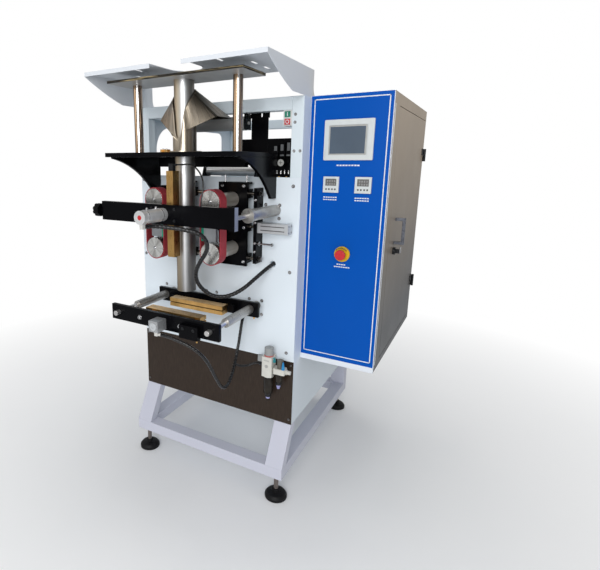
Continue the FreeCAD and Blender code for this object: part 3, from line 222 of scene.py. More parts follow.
def rolled_mesh(name, grids):
    """Mesh of grids of rings: faces join each four neighbours, the last column joins the first, and each
    end ring that isn't a point is closed by one face."""
    points, faces, first = [], [], 0
    for grid in grids:
        rows, columns = grid.shape[0], grid.shape[1]
        index = np.arange(rows * columns).reshape(rows, columns) + first
        after = np.roll(index, -1, axis=1)
        quads = np.stack([index[:-1], after[:-1], after[1:], index[1:]], axis=-1).reshape(-1, 4)
        faces += quads.tolist()
        faces.append(index[0][::-1].tolist())
        faces.append(index[-1].tolist())
        points.append(grid.reshape(-1, 3))
        first += rows * columns
    mesh = bpy.data.meshes.new(name)
    mesh.from_pydata(np.concatenate(points).tolist(), [], faces)
    return mesh


def tidy(mesh, crease=35.0):
    """Merged doubles, faces turned outwards, and smooth shading up to the crease angle."""
    work = bmesh.new()
    work.from_mesh(mesh)
    bmesh.ops.remove_doubles(work, verts=work.verts, dist=1e-6)
    bmesh.ops.recalc_face_normals(work, faces=work.faces)
    work.to_mesh(mesh)
    work.free()
    mesh.polygons.foreach_set("use_smooth", np.ones(len(mesh.polygons), dtype=bool))
    mesh.set_sharp_from_angle(angle=math.radians(crease))


def place(name, mesh, material, body, nodes=()):
    """The mesh as a finished piece: in the scene, on its body, with its material, for those solids."""
    piece = bpy.data.objects.new(name, mesh)
    bpy.context.scene.collection.objects.link(piece)
    mesh.materials.append(material)
    if body:
        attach(piece, body)
    if nodes:
        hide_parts(*nodes)
    return piece


wrap_black, tree, surface = shader("spiral_wrap_black")
shine = spread(mottle(tree, 60.0, 4.0), 0.08, 0.26)
link(shine, surface.inputs["Roughness"])
link(blended(spread(mottle(tree, 45.0), 0.0, 1.0), (0.0015, 0.0015, 0.002), (0.009, 0.009, 0.010)),
     surface.inputs["Base Color"])
raised(surface, mottle(tree, 260.0), 0.0012)
bundle_route = placed([
    (0, -455, 1203), (0, -428, 1203), (14, -400, 1201), (42, -382, 1197), (78, -368, 1194),
    (116, -353, 1187), (146, -335, 1179), (164, -316, 1156), (165, -303, 1124), (148, -294, 1096),
    (118, -288, 1060), (92, -277, 1016), (86, -257, 974), (100, -230, 936), (134, -207, 911),
    (178, -178, 911), (220, -136, 936), (250, -84, 975), (272, -40, 1004), (285, 0, 1021), (292, 30, 1030)])
jaw_hose_route = placed([
    (21, -401.2, 795), (53, -401.2, 795), (94, -393, 784), (134, -384, 771), (166, -371, 748),
    (186, -354, 718), (194, -333, 680), (197, -308, 636), (200, -286, 600), (201, -264, 571),
    (200, -236, 556), (197, -205, 557), (191, -173, 570), (183, -140, 586), (174, -110, 605),
    (167, -84, 632), (166, -66, 668), (168, -56, 714), (167, -42, 757), (163, -18, 786), (160, 12, 802)])
feed_route = placed([(173, -112, 603), (181, -92, 588), (195, -69, 580), (214, -50, 583), (232, -40, 593),
                     (252.5, -38, 597)])
cable_route = placed([
    (22.5, -288, 1413), (42.5, -288, 1413), (56, -293, 1414), (78, -297, 1415), (101, -303, 1411),
    (124, -311, 1401), (145, -318, 1384), (158, -323, 1362), (164, -328, 1338), (163, -333, 1314),
    (160, -339, 1293), (160, -339, 1273)])
wrap_pitch = 0.014
rib_pitch = 0.0045


def spiral(reach, angle):
    """A wrapped band: full radius, but for a soft groove that winds once round in each pitch."""
    phase = (reach / wrap_pitch - angle / (2 * math.pi)) % 1.0
    return 1.0 - 0.16 * np.exp(-((phase - 0.5) / 0.12) ** 2)


def ribs(reach, angle):
    """Corrugations: the radius swings between full and nine tenths once in each pitch."""
    return 0.95 + 0.05 * np.cos(2 * math.pi * reach / rib_pitch)


def smooth(reach, angle):
    """Plain round cable."""
    return 1.0


for name, route, width, profile, bodies, solid in (
        ("seal_hose_bundle", bundle_route, 0.016, spiral, ["machine"], "seal_hose"),
        ("jaw_hose_bundle", jaw_hose_route, 0.013, spiral, ["front_jaw_unit", "machine"], "jaw_hose"),
        ("feed_hose_ribbed", feed_route, 0.0105, ribs, ["machine"], "feed_hose"),
        ("seal_bar_cable", cable_route, 0.0055, smooth, ["seal_slide", "machine"], "seal_cable")):
    route = np.round(route, 6)
    line = line_of(route)
    mesh = rolled_mesh(name, [hose_grid(line, width / 2, 16, profile)])
    tidy(mesh)
    piece = place(name, mesh, wrap_black, bodies[0] if len(bodies) == 1 else None, [solid])
    if len(bodies) == 2:
        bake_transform(piece)

# Floor and light. A plain pale floor, white further out, and plain soft studio light: a white room that is
# dimmer in mirrors, one large lamp in front, a weak one on the left and one overhead.
floor_material, tree, surface = shader("pale_floor")
surface.inputs["Roughness"].default_value = 0.9
surface.inputs["Specular IOR Level"].default_value = 0.1
link(blended(spread(mottle(tree, 1.4, 5.0), 0.0, 1.0), (0.96, 0.96, 0.96), (0.92, 0.925, 0.93)),
     surface.inputs["Base Color"])
far = node(tree, "ShaderNodeVectorMath", {"operation": "LENGTH"})
link(coordinate(tree), far.inputs[0])
fade = spread(far.outputs["Value"], 0.0, 1.0, 0.6, 2.8)
seen = maths("MULTIPLY", fade, node(tree, "ShaderNodeLightPath").outputs["Is Camera Ray"])
white = node(tree, "ShaderNodeEmission", values={"Color": (1, 1, 1, 1), "Strength": 1.0})


def either(factor, one, two):
    """Shader one where the factor is 0 and shader two where it is 1, as a socket."""
    mix = node(factor.id_data, "ShaderNodeMixShader")
    for output, entry in zip((factor, one, two), mix.inputs):
        link(output, entry)
    return mix.outputs["Shader"]


link(either(seen, surface.outputs["BSDF"], white.outputs["Emission"]),
     tree.nodes["Material Output"].inputs["Surface"])
cells = 12
span = np.linspace(-9.0, 9.0, cells + 1)
grid_x, grid_y = np.meshgrid(span, span, indexing="ij")
floor_points = np.stack([grid_x, grid_y, np.full_like(grid_x, -0.0005)], axis=-1).reshape(-1, 3)
corner = (np.arange(cells)[:, None] * (cells + 1) + np.arange(cells)[None, :]).ravel()
squares = np.stack([corner, corner + cells + 1, corner + cells + 2, corner + 1], -1)
floor_mesh = bpy.data.meshes.new("floor")
floor_mesh.from_pydata(floor_points.tolist(), [], squares.tolist())
floor_mesh.materials.append(floor_material)
floor = bpy.data.objects.new("floor", floor_mesh)
bpy.context.scene.collection.objects.link(floor)

world = bpy.data.worlds.new("white_room")
bpy.context.scene.world = world
world.use_nodes = True
tree = world.node_tree
room = tree.nodes["Background"]
room.inputs["Color"].default_value = (0.94, 0.97, 1.0, 1.0)
room.inputs["Strength"].default_value = 0.42
plain = node(tree, "ShaderNodeBackground", values={"Color": (1, 1, 1, 1), "Strength": 1.0})
mirrored = node(tree, "ShaderNodeBackground", values={"Color": (1, 1, 1, 1), "Strength": 0.45})
path = node(tree, "ShaderNodeLightPath")
dimmed = either(path.outputs["Is Glossy Ray"], room.outputs["Background"], mirrored.outputs["Background"])
link(either(path.outputs["Is Camera Ray"], dimmed, plain.outputs["Background"]),
     tree.nodes["World Output"].inputs["Surface"])
for name, spot, size, power in (("lamp_front", (1.1, -4.0, 2.2), 2.2, 98.0),
                                ("lamp_front_left", (-2.6, -3.0, 2.6), 2.0, 9.0),
                                ("lamp_overhead", (0.3, 0.4, 4.2), 2.6, 30.0)):
    lamp = bpy.data.objects.new(name, bpy.data.lights.new(name, "AREA"))
    lamp.data.size = size
    lamp.data.energy = power
    aim = (Vector((0.0, 0.0, 0.9)) - Vector(spot)).to_track_quat("-Z", "Y")
    lamp.matrix_world = Matrix.Translation(spot) @ aim.to_matrix().to_4x4()
    bpy.context.scene.collection.objects.link(lamp)

# Base. Square tubes welded into a ring and four legs of folded sheet, the front two sloping, all in the
# body's white enamel, which is sprayed and baked, so it is satin with a faint orange peel.


def enamel(name, colour, rough=0.34, shade=0.97, soft=1.3, specular=0.3, low_painted_shade=None):
    """Baked enamel: broad soft change to the shaded tone, and where a low shade is given, painted shade that
    turns it to that colour from 1.65 m high down to 0.75 m; a slightly uneven gloss, and fine orange peel in
    the height."""
    material, tree, surface = shader(name)
    dark = tuple(c * shade for c in colour)
    paint = blended(spread(mottle(tree, soft, 3.0), 0.0, 1.0), colour, dark)
    if low_painted_shade:
        paint = blended(spread(split(coordinate(tree))["Z"], 1.0, 0.0, 0.75, 1.65), paint, low_painted_shade)
    link(paint, surface.inputs["Base Color"])
    link(spread(mottle(tree, 7.0, 4.0), rough * 0.94, rough * 1.08), surface.inputs["Roughness"])
    surface.inputs["Specular IOR Level"].default_value = specular
    raised(surface, mottle(tree, 600.0, 1.0), 0.00004, 0.25)
    return material


def eased(name, solid, width, material, body="machine", crease=30.0):
    """The solid's own surface as a piece: doubles merged, flat faces joined, edges rounded by the width."""
    work = bmesh.new()
    work.from_mesh(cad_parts[solid].data)
    bmesh.ops.remove_doubles(work, verts=work.verts, dist=2e-5)
    bmesh.ops.dissolve_limit(work, angle_limit=math.radians(0.6), verts=work.verts, edges=work.edges)
    mesh = bpy.data.meshes.new(name)
    work.to_mesh(mesh)
    work.free()
    if "custom_normal" in mesh.attributes:
        mesh.attributes.remove(mesh.attributes["custom_normal"])
    mesh.polygons.foreach_set("use_smooth", np.ones(len(mesh.polygons), dtype=bool))
    mesh.set_sharp_from_angle(angle=math.radians(crease))
    piece = place(name, mesh, material, body, [solid])
    if width:
        rounded(piece, width)
    return piece


def rounded(piece, width):
    """Bevel of that width on the piece's sharp edges."""
    edge = piece.modifiers.new("rounded edges", "BEVEL")
    edge.width = width
    edge.segments = 2
    edge.limit_method = "ANGLE"
    edge.angle_limit = math.radians(50)
    edge.use_clamp_overlap = True
    edge.harden_normals = True


# The base's copy of the white enamel is painted darker and bluer than the frame's and panels': painted shade.
white_enamel = enamel("white_enamel", (0.60, 0.61, 0.70))
eased("base_ring", "base_rails", 0.002, white_enamel)
eased("legs", "base_legs", 0.002, white_enamel)

# Levelling feet. Black rubber-faced pads under threaded steel studs, which are screwed into the ring's
# corners and locked there by a nut.


def tone(piece, material, test):
    """Gives the material to the faces whose middles, in millimetres from the panel's, pass the test."""
    mesh = piece.data
    mesh.materials.append(material)
    middle = np.zeros(len(mesh.polygons) * 3)
    mesh.polygons.foreach_get("center", middle)
    middle = (middle.reshape(-1, 3) - (panel_middle, panel_face, 0.0)) * 1000
    index = np.zeros(len(mesh.polygons), dtype=np.int32)
    mesh.polygons.foreach_get("material_index", index)
    index[test(middle[:, 0], middle[:, 1], middle[:, 2])] = len(mesh.materials) - 1
    mesh.polygons.foreach_set("material_index", index)


def metal(name, colour, rough, dark=0.7, scale=8.0, stretch=(1.0, 1.0, 1.0), lines=0.00002,
          line_scale=220.0, line_stretch=(1.0, 1.0, 1.0), tint=None, metallic=1.0):
    """Bare metal: tone that shifts to a darker or tinted one along the stretch, gloss that varies with fine
    lines, and the same lines in the height."""
    material, tree, surface = shader(name)
    other = tint or tuple(c * dark for c in colour)
    link(blended(spread(mottle(tree, scale, 3.0, stretch), 0.0, 1.0, 0.35, 0.65), colour, other),
         surface.inputs["Base Color"])
    marks = mottle(tree, line_scale, 3.0, line_stretch)
    link(spread(marks, rough * 0.8, rough * 1.25), surface.inputs["Roughness"])
    surface.inputs["Metallic"].default_value = metallic
    raised(surface, marks, lines, 0.3)
    return material


rubber = plastic("black_rubber_foot", (0.008, 0.008, 0.009), 0.5, 0.6, specular=0.2)
stud_steel = metal("stud_steel", (0.30, 0.26, 0.24), 0.4, lines=0.0001, line_scale=90.0,
                   line_stretch=(0.1, 0.1, 6.0))
feet = eased("feet", "levelling_feet", 0.0015, rubber)
tone(feet, stud_steel, lambda x, y, z: z > 42)

# Body frame. Two square front columns, cross rails and side rails, welded up from steel tube, in the same
# sprayed white; this copy of it is painted paler than the base's, as painted light.
rails_white_painted_lighter = enamel("white_enamel_rails", (0.74, 0.82, 0.87))
for name, solid in (("front_columns", "columns"), ("cross_bars", "cross_rails"),
                    ("side_bars", "side_rails")):
    eased(name, solid, 0.002, rails_white_painted_lighter)

# Housing. Folded sheet steel panels in white enamel round the frame, held on it by bright cap screws with
# darker plated washers.


def turned(centre, axis, profile, sides=24):
    """Rings of a turned piece: each (along, radius) of the profile, in millimetres, stands that far along
    the axis from the centre, which is in millimetres from the panel's middle."""
    along = np.array({"x": (1, 0, 0), "y": (0, 1, 0), "z": (0, 0, 1)}[axis[-1]], float)
    side = np.roll(along, 1)
    other = np.cross(along, side)
    if axis[0] == "-":
        along = -along
    angle = np.linspace(0.0, 2 * math.pi, sides, endpoint=False)
    ring = side * np.cos(angle)[:, None] + other * np.sin(angle)[:, None]
    steps = np.asarray(profile, float)[:, :, None, None] / 1000
    return placed(centre) + along * steps[:, 0] + ring * steps[:, 1]


def turned_set(name, spots, axis, profile, material, body="machine", sides=24, crease=35.0):
    """The same turned piece at each spot, as one mesh."""
    mesh = rolled_mesh(name, [turned(spot, axis, profile, sides) for spot in spots])
    tidy(mesh, crease)
    return place(name, mesh, material, body)


def screw(radius, height):
    """Profile of a cap screw's head on its washer, with a round socket."""
    return [(0, radius * 1.25), (height * 0.15, radius * 1.25), (height * 0.15, radius),
            (height * 0.85, radius), (height, radius * 0.85), (height, radius * 0.5),
            (height * 0.45, radius * 0.45), (height * 0.45, 0)]


panel_enamel = enamel("white_enamel_panels", (0.76, 0.83, 0.89), 0.36, specular=0.2)
for name, solid, width in (("front_plate", "front_panel", 0.0008), ("side_plates", "side_panels", 0.0006),
                           ("back_plate", "rear_panel", 0.0006), ("floor_plate", "bottom_plate", 0.0006)):
    eased(name, solid, width, panel_enamel)
plated = metal("plated_screw", (0.26, 0.25, 0.25), 0.28, 0.6, 60.0)
panel_screws = [(-379, 1345), (360, 1333), (306, 1258), (305, 1206), (247, 1258), (358, 994), (-377, 999),
                (-258, 863), (-35, 862), (18, 862), (180, 858), (239, 858), (239, 797), (356, 650)]
bright_steel = metal("bright_steel", (0.62, 0.62, 0.63), 0.2, 0.55, 30.0)
column_screws = [(357, 1596), (356, 1568), (356, 1464), (380, 1464)]
for name, y, spots, head, size in (("panel", 0, panel_screws, screw(4.4, 5), 7),
                                   ("column", 3, column_screws, screw(3.4, 4), 5.6)):
    spots = [(x, y, z) for x, z in spots]
    turned_set(name + "_screws", spots, "-y", head, bright_steel)
    turned_set(name + "_washers", spots, "-y", [(0, size), (1, size), (1, 3)], plated)

# Lower front cover. One dark brown gloss sheet over the drive's room, with a faint upright grain and a
# screw in each corner.
brown_gloss, tree, surface = shader("brown_gloss")
grain = mottle(tree, 60.0, 5.0, (6.0, 1.0, 0.4))
link(blended(spread(grain, 0.0, 1.0), (0.026, 0.017, 0.012), (0.042, 0.028, 0.020)),
     surface.inputs["Base Color"])
link(spread(mottle(tree, 9.0, 4.0), 0.14, 0.24), surface.inputs["Roughness"])
surface.inputs["Specular IOR Level"].default_value = 0.2
raised(surface, grain, 0.00005, 0.2)
eased("lower_cover", "lower_panel", 0.0008, brown_gloss)
turned_set("cover_screws", [(x, 0, z) for x in (-378, 378) for z in (351, 598)], "-y", screw(4.2, 4), plated)

# Canopy. One folded steel sheet in white enamel, with a notch for the filler and long holes for its bolts;
# its two gussets are folded down and bolted to the columns.
canopy_enamel = enamel("white_enamel_canopy", (0.72, 0.75, 0.79), 0.36)
eased("canopy_sheet", "canopy", 0.0008, canopy_enamel)

# Head plate. Grey painted steel plate under the canopy that holds the forming tube's top; its sawn edge is
# bare and shows gilt.
plate_grey = enamel("head_plate_grey", (0.36, 0.36, 0.355), 0.32, 0.85)
gilt, tree, surface = shader("gilt_edge")
link(blended(spread(mottle(tree, 9.0, 3.0, (1.0, 1.0, 26.0)), 0.0, 1.0, 0.38, 0.5), (0.38, 0.30, 0.16),
             (0.016, 0.014, 0.011)), surface.inputs["Base Color"])
surface.inputs["Metallic"].default_value = 0.6
surface.inputs["Roughness"].default_value = 0.35
head = eased("head_plate", "top_plate", 0.0008, plate_grey)
tone(head, gilt, lambda x, y, z: (y < -295.5) | (x > 294.5))

# Posts. Two chromed round bars between the support plate and the head plate, screwed in at both ends. What
# they mirror is painted on them as painted reflection: bands of brown and white along their length.


def banded(value, stops):
    """Colour that runs through the stops, each (place from 0 to 1, colour), as the value does."""
    ramp = node(value.id_data, "ShaderNodeValToRGB")
    bands = ramp.color_ramp.elements
    bands[0].position, bands[0].color = stops[0][0], (*stops[0][1], 1.0)
    bands[1].position, bands[1].color = stops[-1][0], (*stops[-1][1], 1.0)
    for spot, colour in stops[1:-1]:
        bands.new(spot).color = (*colour, 1.0)
    link(value, ramp.inputs["Fac"])
    return ramp.outputs["Color"]


def dimmed_by(colour, factor):
    """Colour socket times a factor socket."""
    scaled = node(colour.id_data, "ShaderNodeVectorMath", {"operation": "SCALE"})
    link(colour, scaled.inputs[0])
    link(factor, scaled.inputs["Scale"])
    return scaled.outputs["Vector"]


def wavy(value, swing):
    """The value from -1 to 1 as 0 to 1, with the swing added."""
    return maths("ADD", spread(value, 0.0, 1.0, -1.0, 1.0), swing)


def painted_reflection_metal(name, stops, rough, wave=0.05, wave_stretch=(6.0, 6.0, 0.7), floor_painted_shade=1.0):
    """Polished round metal with painted reflections: colour from the stops by how far the surface turns to
    the right, a little wavy along the stretch, with painted shade that dims it towards the floor; fine lines
    in gloss and height."""
    material, tree, surface = shader(name)
    facing = node(tree, "ShaderNodeVectorMath", {"operation": "DOT_PRODUCT"})
    facing.inputs[1].default_value = (level.x, level.y, 0.0)
    link(coordinate(tree, "Normal"), facing.inputs[0])
    swing = spread(mottle(tree, 8.0, 3.0, wave_stretch), -wave, wave)
    colour = banded(wavy(facing.outputs["Value"], swing), stops)
    painted_shade_by_height = spread(split(coordinate(tree))["Z"], floor_painted_shade, 1.0, 0.95, 1.40)
    link(dimmed_by(colour, painted_shade_by_height), surface.inputs["Base Color"])
    marks = mottle(tree, 420.0, 2.0, (1.0, 1.0, 0.05))
    link(spread(marks, rough * 0.8, rough * 1.2), surface.inputs["Roughness"])
    surface.inputs["Metallic"].default_value = 1.0
    raised(surface, marks, 0.00001, 0.3)
    return material


post_painted_reflections = [(0.05, (0.20, 0.15, 0.11)), (0.25, (0.75, 0.50, 0.30)), (0.42, (0.30, 0.26, 0.22)),
              (0.50, (0.9, 0.9, 0.9)), (0.57, (0.80, 0.78, 0.76)), (0.66, (0.24, 0.17, 0.13)),
              (0.95, (0.42, 0.34, 0.28))]
post_chrome = painted_reflection_metal("post_chrome", post_painted_reflections, 0.16)
eased("head_posts", "plate_posts", 0.0, post_chrome)

# Forming tube. Thin stainless tube, ground lengthways, that the film is drawn round and the goods fall
# through; it hangs from the head plate.
# The tube's colour is painted reflection: brown and gold on its left, a pale streak near the middle, dark
# grey to the right; painted shade darkens it towards the floor.
tube_painted_reflections = [(0.0, (0.36, 0.29, 0.21)), (0.12, (0.70, 0.57, 0.41)), (0.28, (0.56, 0.51, 0.43)),
              (0.38, (0.50, 0.50, 0.51)), (0.46, (0.74, 0.74, 0.75)), (0.54, (0.54, 0.55, 0.56)),
              (0.68, (0.36, 0.36, 0.36)), (0.86, (0.25, 0.24, 0.22)), (1.0, (0.30, 0.28, 0.26))]
tube_steel = painted_reflection_metal("tube_steel", tube_painted_reflections, 0.44, 0.02, (1.0, 1.0, 0.6), 0.62)
eased("tube", "forming_tube", 0.0, tube_steel)

# Forming collar. One stainless sheet cut and bent over a crest round the tube, so the flat film slides up
# its back and shoulders and turns down into the tube; the film's run has polished it in fine lines.


def fan_noise(over, along, scale, detail):
    """Noise in wedges round an axis: it changes only with the angle that the two sockets span."""
    tree = over.id_data
    ray = node(tree, "ShaderNodeCombineXYZ")
    link(maths("ARCTAN2", over, along), ray.inputs["X"])
    noise = node(tree, "ShaderNodeTexNoise", values={"Scale": scale, "Detail": detail, "Roughness": 0.5})
    link(ray.outputs["Vector"], noise.inputs["Vector"])
    return noise.outputs["Fac"]


collar_steel, tree, surface = shader("collar_steel")
tube_low, tube_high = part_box("forming_tube")
tube_axis = (tube_low + tube_high) / 2
offset = node(tree, "ShaderNodeMapping", values={"Location": (-tube_axis.x, -tube_axis.y, 0.0)})
link(coordinate(tree), offset.inputs["Vector"])
across_tube, behind_tube = [split(offset.outputs["Vector"])[axis] for axis in "XY"]
fine = fan_noise(across_tube, behind_tube, 26.0, 4.0)
broad = fan_noise(across_tube, behind_tube, 2.4, 2.0)
# Painted reflection: broad wedges of pale and dark brown round the tube's axis; over them the fine polish
# lines; then painted light and shade, brighter left of the tube and darker right of it.
painted_sheen = blended(spread(broad, 0.0, 1.0, 0.38, 0.62), (0.50, 0.45, 0.38), (0.20, 0.18, 0.15))
lined = blended(spread(fine, 0.0, 1.0, 0.35, 0.7), painted_sheen, (0.30, 0.24, 0.17))
link(dimmed_by(lined, spread(across_tube, 1.45, 0.6, -0.02, 0.05)), surface.inputs["Base Color"])
link(spread(fine, 0.22, 0.38), surface.inputs["Roughness"])
surface.inputs["Metallic"].default_value = 1.0
raised(surface, fine, 0.0001, 0.25)
eased("collar_sheet", "forming_collar", 0.0, collar_steel, crease=25.0)

# Support plate. Thick black plate with curved brackets below it, that the collar and the posts stand on.
# The tube is held on it by a small brass clamp on the left.


def blocks(name, sizes, width, material, body="machine"):
    """Blocks of those x, y and z ranges, in millimetres from the panel, with edges rounded by the width."""
    points, faces = [], []
    for x0, x1, y0, y1, z0, z1 in sizes:
        first = len(points)
        points += [(x, y, z) for x in (x0, x1) for y in (y0, y1) for z in (z0, z1)]
        faces += [[first + i for i in face] for face in
                  ((0, 1, 3, 2), (4, 6, 7, 5), (0, 4, 5, 1), (2, 3, 7, 6), (0, 2, 6, 4), (1, 5, 7, 3))]
    mesh = bpy.data.meshes.new(name)
    mesh.from_pydata(placed(points).tolist(), [], faces)
    tidy(mesh, 30.0)
    piece = place(name, mesh, material, body)
    rounded(piece, width)
    return piece


black_satin = enamel("black_satin", (0.0018, 0.0018, 0.0024), 0.2, 1.6, 7.0, 0.07)
eased("shelf_plate", "support_plate", 0.0012, black_satin)
eased("shelf_brackets", "support_brackets", 0.0012, black_satin)
brass = metal("brass_bar", (0.80, 0.48, 0.17), 0.3, scale=14.0, stretch=(0.5, 1.0, 0.35),
              tint=(0.36, 0.21, 0.07), line_scale=260.0, line_stretch=(1.0, 1.0, 0.1))
blocks("tube_clamp", [(-72, -40, -262, -240, 1457, 1469), (-66, -58, -270, -262, 1460, 1466)], 0.001, brass)
turned_set("clamp_screws", [(-50, -252, 1469), (-64, -252, 1469)], "z", screw(3.2, 4), bright_steel)

# Belt units. Black carriages slide on two round rods between end plates; each carries two toothed pulleys
# with a red film belt, and a green sliding pad on a grey bar behind its inner run.
belt_red = plastic("belt_red", (0.42, 0.045, 0.06), 0.55, 0.75, 20.0, specular=0.25)
grey_alloy = metal("grey_alloy", (0.42, 0.44, 0.46), 0.4, scale=12.0)
pad_green = plastic("pad_green", (0.005, 0.33, 0.20), 0.45, specular=0.3)
faced_alloy, tree, surface = shader("faced_alloy")
wheel_x, low_wheel_z, high_wheel_z = 131, 1085, 1280


def folded(value, low, high):
    """Distance outwards from the nearer of two points on the value's axis, as a socket."""
    from_middle = maths("ABSOLUTE", maths("SUBTRACT", value, (low + high) / 2))
    return maths("SUBTRACT", from_middle, (high - low) / 2)


# The pulleys' turned faces get painted highlights: bright and dull wedges fixed round each pulley's middle.
at = split(coordinate(tree))
up_or_down = folded(at["Z"], low_wheel_z / 1000, high_wheel_z / 1000)
in_or_out = folded(at["X"], panel_middle - wheel_x / 1000, panel_middle + wheel_x / 1000)
painted_highlight_wedges = fan_noise(up_or_down, in_or_out, 1.1, 2.0)
link(blended(spread(painted_highlight_wedges, 0.0, 1.0, 0.36, 0.64), (1.0, 0.99, 0.95), (0.54, 0.52, 0.49)),
     surface.inputs["Base Color"])
surface.inputs["Metallic"].default_value = 1.0
surface.inputs["Roughness"].default_value = 0.26
raised(surface, mottle(tree, 300.0, 2.0), 0.00001, 0.2)
housing_steel = metal("housing_steel", (0.90, 0.86, 0.79), 0.2, scale=16.0, stretch=(1.0, 0.15, 1.0),
                      tint=(0.42, 0.38, 0.32), line_scale=300.0, line_stretch=(0.1, 2.0, 0.1), metallic=0.5)
rod_chrome = metal("rod_chrome", (0.72, 0.68, 0.62), 0.16, scale=20.0, stretch=(0.3, 3.0, 3.0),
                   tint=(0.34, 0.27, 0.20))
eased("end_plates", "rod_end_plates", 0.001, black_satin)
eased("guide_rods", "belt_guide_rods", 0.0, rod_chrome)
hook = [(0, 6), (5, 6), (5, 2.4), (23, 2.4), (23, 4.2), (28, 4.2), (29, 3), (29, 0)]
slide_screws = [(84, 1332), (180, 1332), (182, 1168), (84, 1168), (182, 1030), (84, 1030)]
for side, sign in (("right", 1.0), ("left", -1.0)):
    body = side + "_belt_unit"
    slide = eased(side + "_slide", side + "_carriage", 0.001, black_satin, body)
    tone(slide, grey_alloy, lambda x, y, z: (np.abs(x) > 108) & (np.abs(x) < 160) & (y < -190))
    tone(slide, pad_green, lambda x, y, z: (np.abs(x) < 101) & (y < -180))
    tone(slide, rod_chrome, lambda x, y, z: np.abs(x) > 197)
    wheels = eased(side + "_wheels", side + "_pulleys", 0.0006, faced_alloy, body)
    tone(wheels, housing_steel, lambda x, y, z: y > -186)
    eased(side + "_film_belt", side + "_belt", 0.0006, belt_red, body)
    turned_set(side + "_wheel_screws", [(sign * wheel_x, -237, z) for z in (low_wheel_z, high_wheel_z)],
               "-y", screw(5.5, 4), bright_steel, body)
    turned_set(side + "_slide_screws", [(sign * x, -65, z) for x, z in slide_screws], "-y", screw(5, 6),
               bright_steel, body)
    turned_set(side + "_hooks", [(sign * x, -40, 1344) for x in (83, 181)], "z", hook, bright_steel, body)
turned_set("end_plate_screws", [(x, -57, z) for x in (-228, 228) for z in (1074, 1108, 1190, 1279)], "-y",
           screw(4.2, 5), bright_steel)
turned_set("rod_nuts", [(235, -32, 1302), (235, -32, 1042)], "x",
           [(0, 11), (3, 11), (3, 9), (12, 9), (13, 7.5), (13, 0)], plated, sides=6, crease=20.0)
stroke_screw = [(0, 9), (6, 9), (6, 3.8), (58, 3.8), (58, 7), (64, 7), (65, 6), (65, 3), (62, 3), (62, 0)]
turned_set("stroke_screw", [(235, -40, 1105)], "x", stroke_screw, bright_steel)

# Air cylinders. Drawn alloy barrels: a square one that moves the belts and a round one in front of the
# sealer's arm, which has a bright ring at each end, a red plug in its cap and a white elbow for its hoses.
turned_alloy = metal("turned_alloy", (0.62, 0.64, 0.66), 0.34, 0.85, 12.0, (0.4, 0.4, 1.0),
                     line_scale=160.0, metallic=0.4)
silver_barrel = metal("silver_barrel", (0.74, 0.74, 0.74), 0.36, 0.8, 14.0, (0.4, 3.0, 1.0),
                      line_scale=160.0, metallic=0.45)
cap_middle, plug_radius = (0, -476, 1237), 0.0085
tree = silver_barrel.node_tree
paint = tree.nodes["Principled BSDF"].inputs["Base Color"]
from_plug = node(tree, "ShaderNodeVectorMath", {"operation": "DISTANCE"})
from_plug.inputs[1].default_value = placed(cap_middle).tolist()
link(coordinate(tree), from_plug.inputs[0])
on_plug = spread(from_plug.outputs["Value"], 1.0, 0.0, plug_radius - 0.0003, plug_radius + 0.0003)
link(blended(on_plug, paint.links[0].from_socket, (0.62, 0.03, 0.035)), paint)
fitting_white = plastic("fitting_white", (0.66, 0.65, 0.62), 0.4)
cylinders = eased("cylinders", "air_cylinders", 0.001, turned_alloy)
tone(cylinders, silver_barrel, lambda x, y, z: (x < 100) & (y < -300))
tone(cylinders, fitting_white, lambda x, y, z: (x < 100) & (z < 1213) & (y < -420))
# This dark grey serves for real dark keys, marks and a gauge hand, and for painted shade in the square
# barrel's slots.
dark_marks_and_groove_shade = plastic("dark_marks_and_groove_shade", (0.05, 0.05, 0.052), 0.4)
turned_set("barrel_rings", [(0, y, 1237) for y in (-452, -372)], "y",
           [(0, 23.5), (0.4, 24.6), (3, 24.6), (3.4, 23.5)], bright_steel, sides=48)
turned_set("barrel_ports", [(0, y, 1259) for y in (-436, -386)], "z",
           [(0, 6), (3, 6), (3, 4.5), (8, 4.5), (9, 3.5), (9, 0)], bright_steel)
square_caps = [(x0, x1, -50.6, -9.4, 1149.4, 1190.6) for x0, x1 in ((235.5, 249), (350, 364.6))]
blocks("square_caps", square_caps, 0.0015, turned_alloy)
# Dark strips in the square barrel's two slots: painted shade in the grooves.
blocks("barrel_slot_shade", [(249, 350, -50.4, -49.8, z - 1.6, z + 1.6) for z in (1162, 1178)], 0.0002,
       dark_marks_and_groove_shade)
turned_set("square_cap_screws", [(364.6, y, z) for y in (-42, -18) for z in (1158, 1182)], "x",
           screw(2.6, 2), plated, sides=12)

# Upright sealer. Black steel arm held out on a rod in a ground sleeve, bare at its machined end, and the
# brass heater bar behind it, with a black terminal on top.
arm = eased("arm", "seal_arm", 0.001, black_satin)
bare_end = metal("bare_end", (0.44, 0.46, 0.49), 0.4, scale=9.0, stretch=(1.0, 3.0, 0.3),
                 tint=(0.28, 0.30, 0.35), metallic=0.4)
sleeve_steel = metal("sleeve_steel", (0.50, 0.49, 0.47), 0.3, scale=22.0, stretch=(1.0, 0.2, 1.0),
                     tint=(0.24, 0.22, 0.20), line_scale=300.0, line_stretch=(0.1, 2.0, 0.1), metallic=0.7)
tone(arm, bare_end, lambda x, y, z: x > 301.5)
eased("arm_rods", "seal_arm_support", 0.0008, sleeve_steel)
bar = eased("heater_bar", "seal_bar", 0.0008, brass, "seal_slide")
black_moulded = plastic("black_moulded", (0.010, 0.011, 0.013), 0.35, specular=0.3)
tone(bar, black_moulded, lambda x, y, z: z > 1392)
turned_set("arm_screws", [(x, -348, z) for x in (-52, 52) for z in (1216, 1258)], "-y", screw(4.5, 4),
           black_moulded)
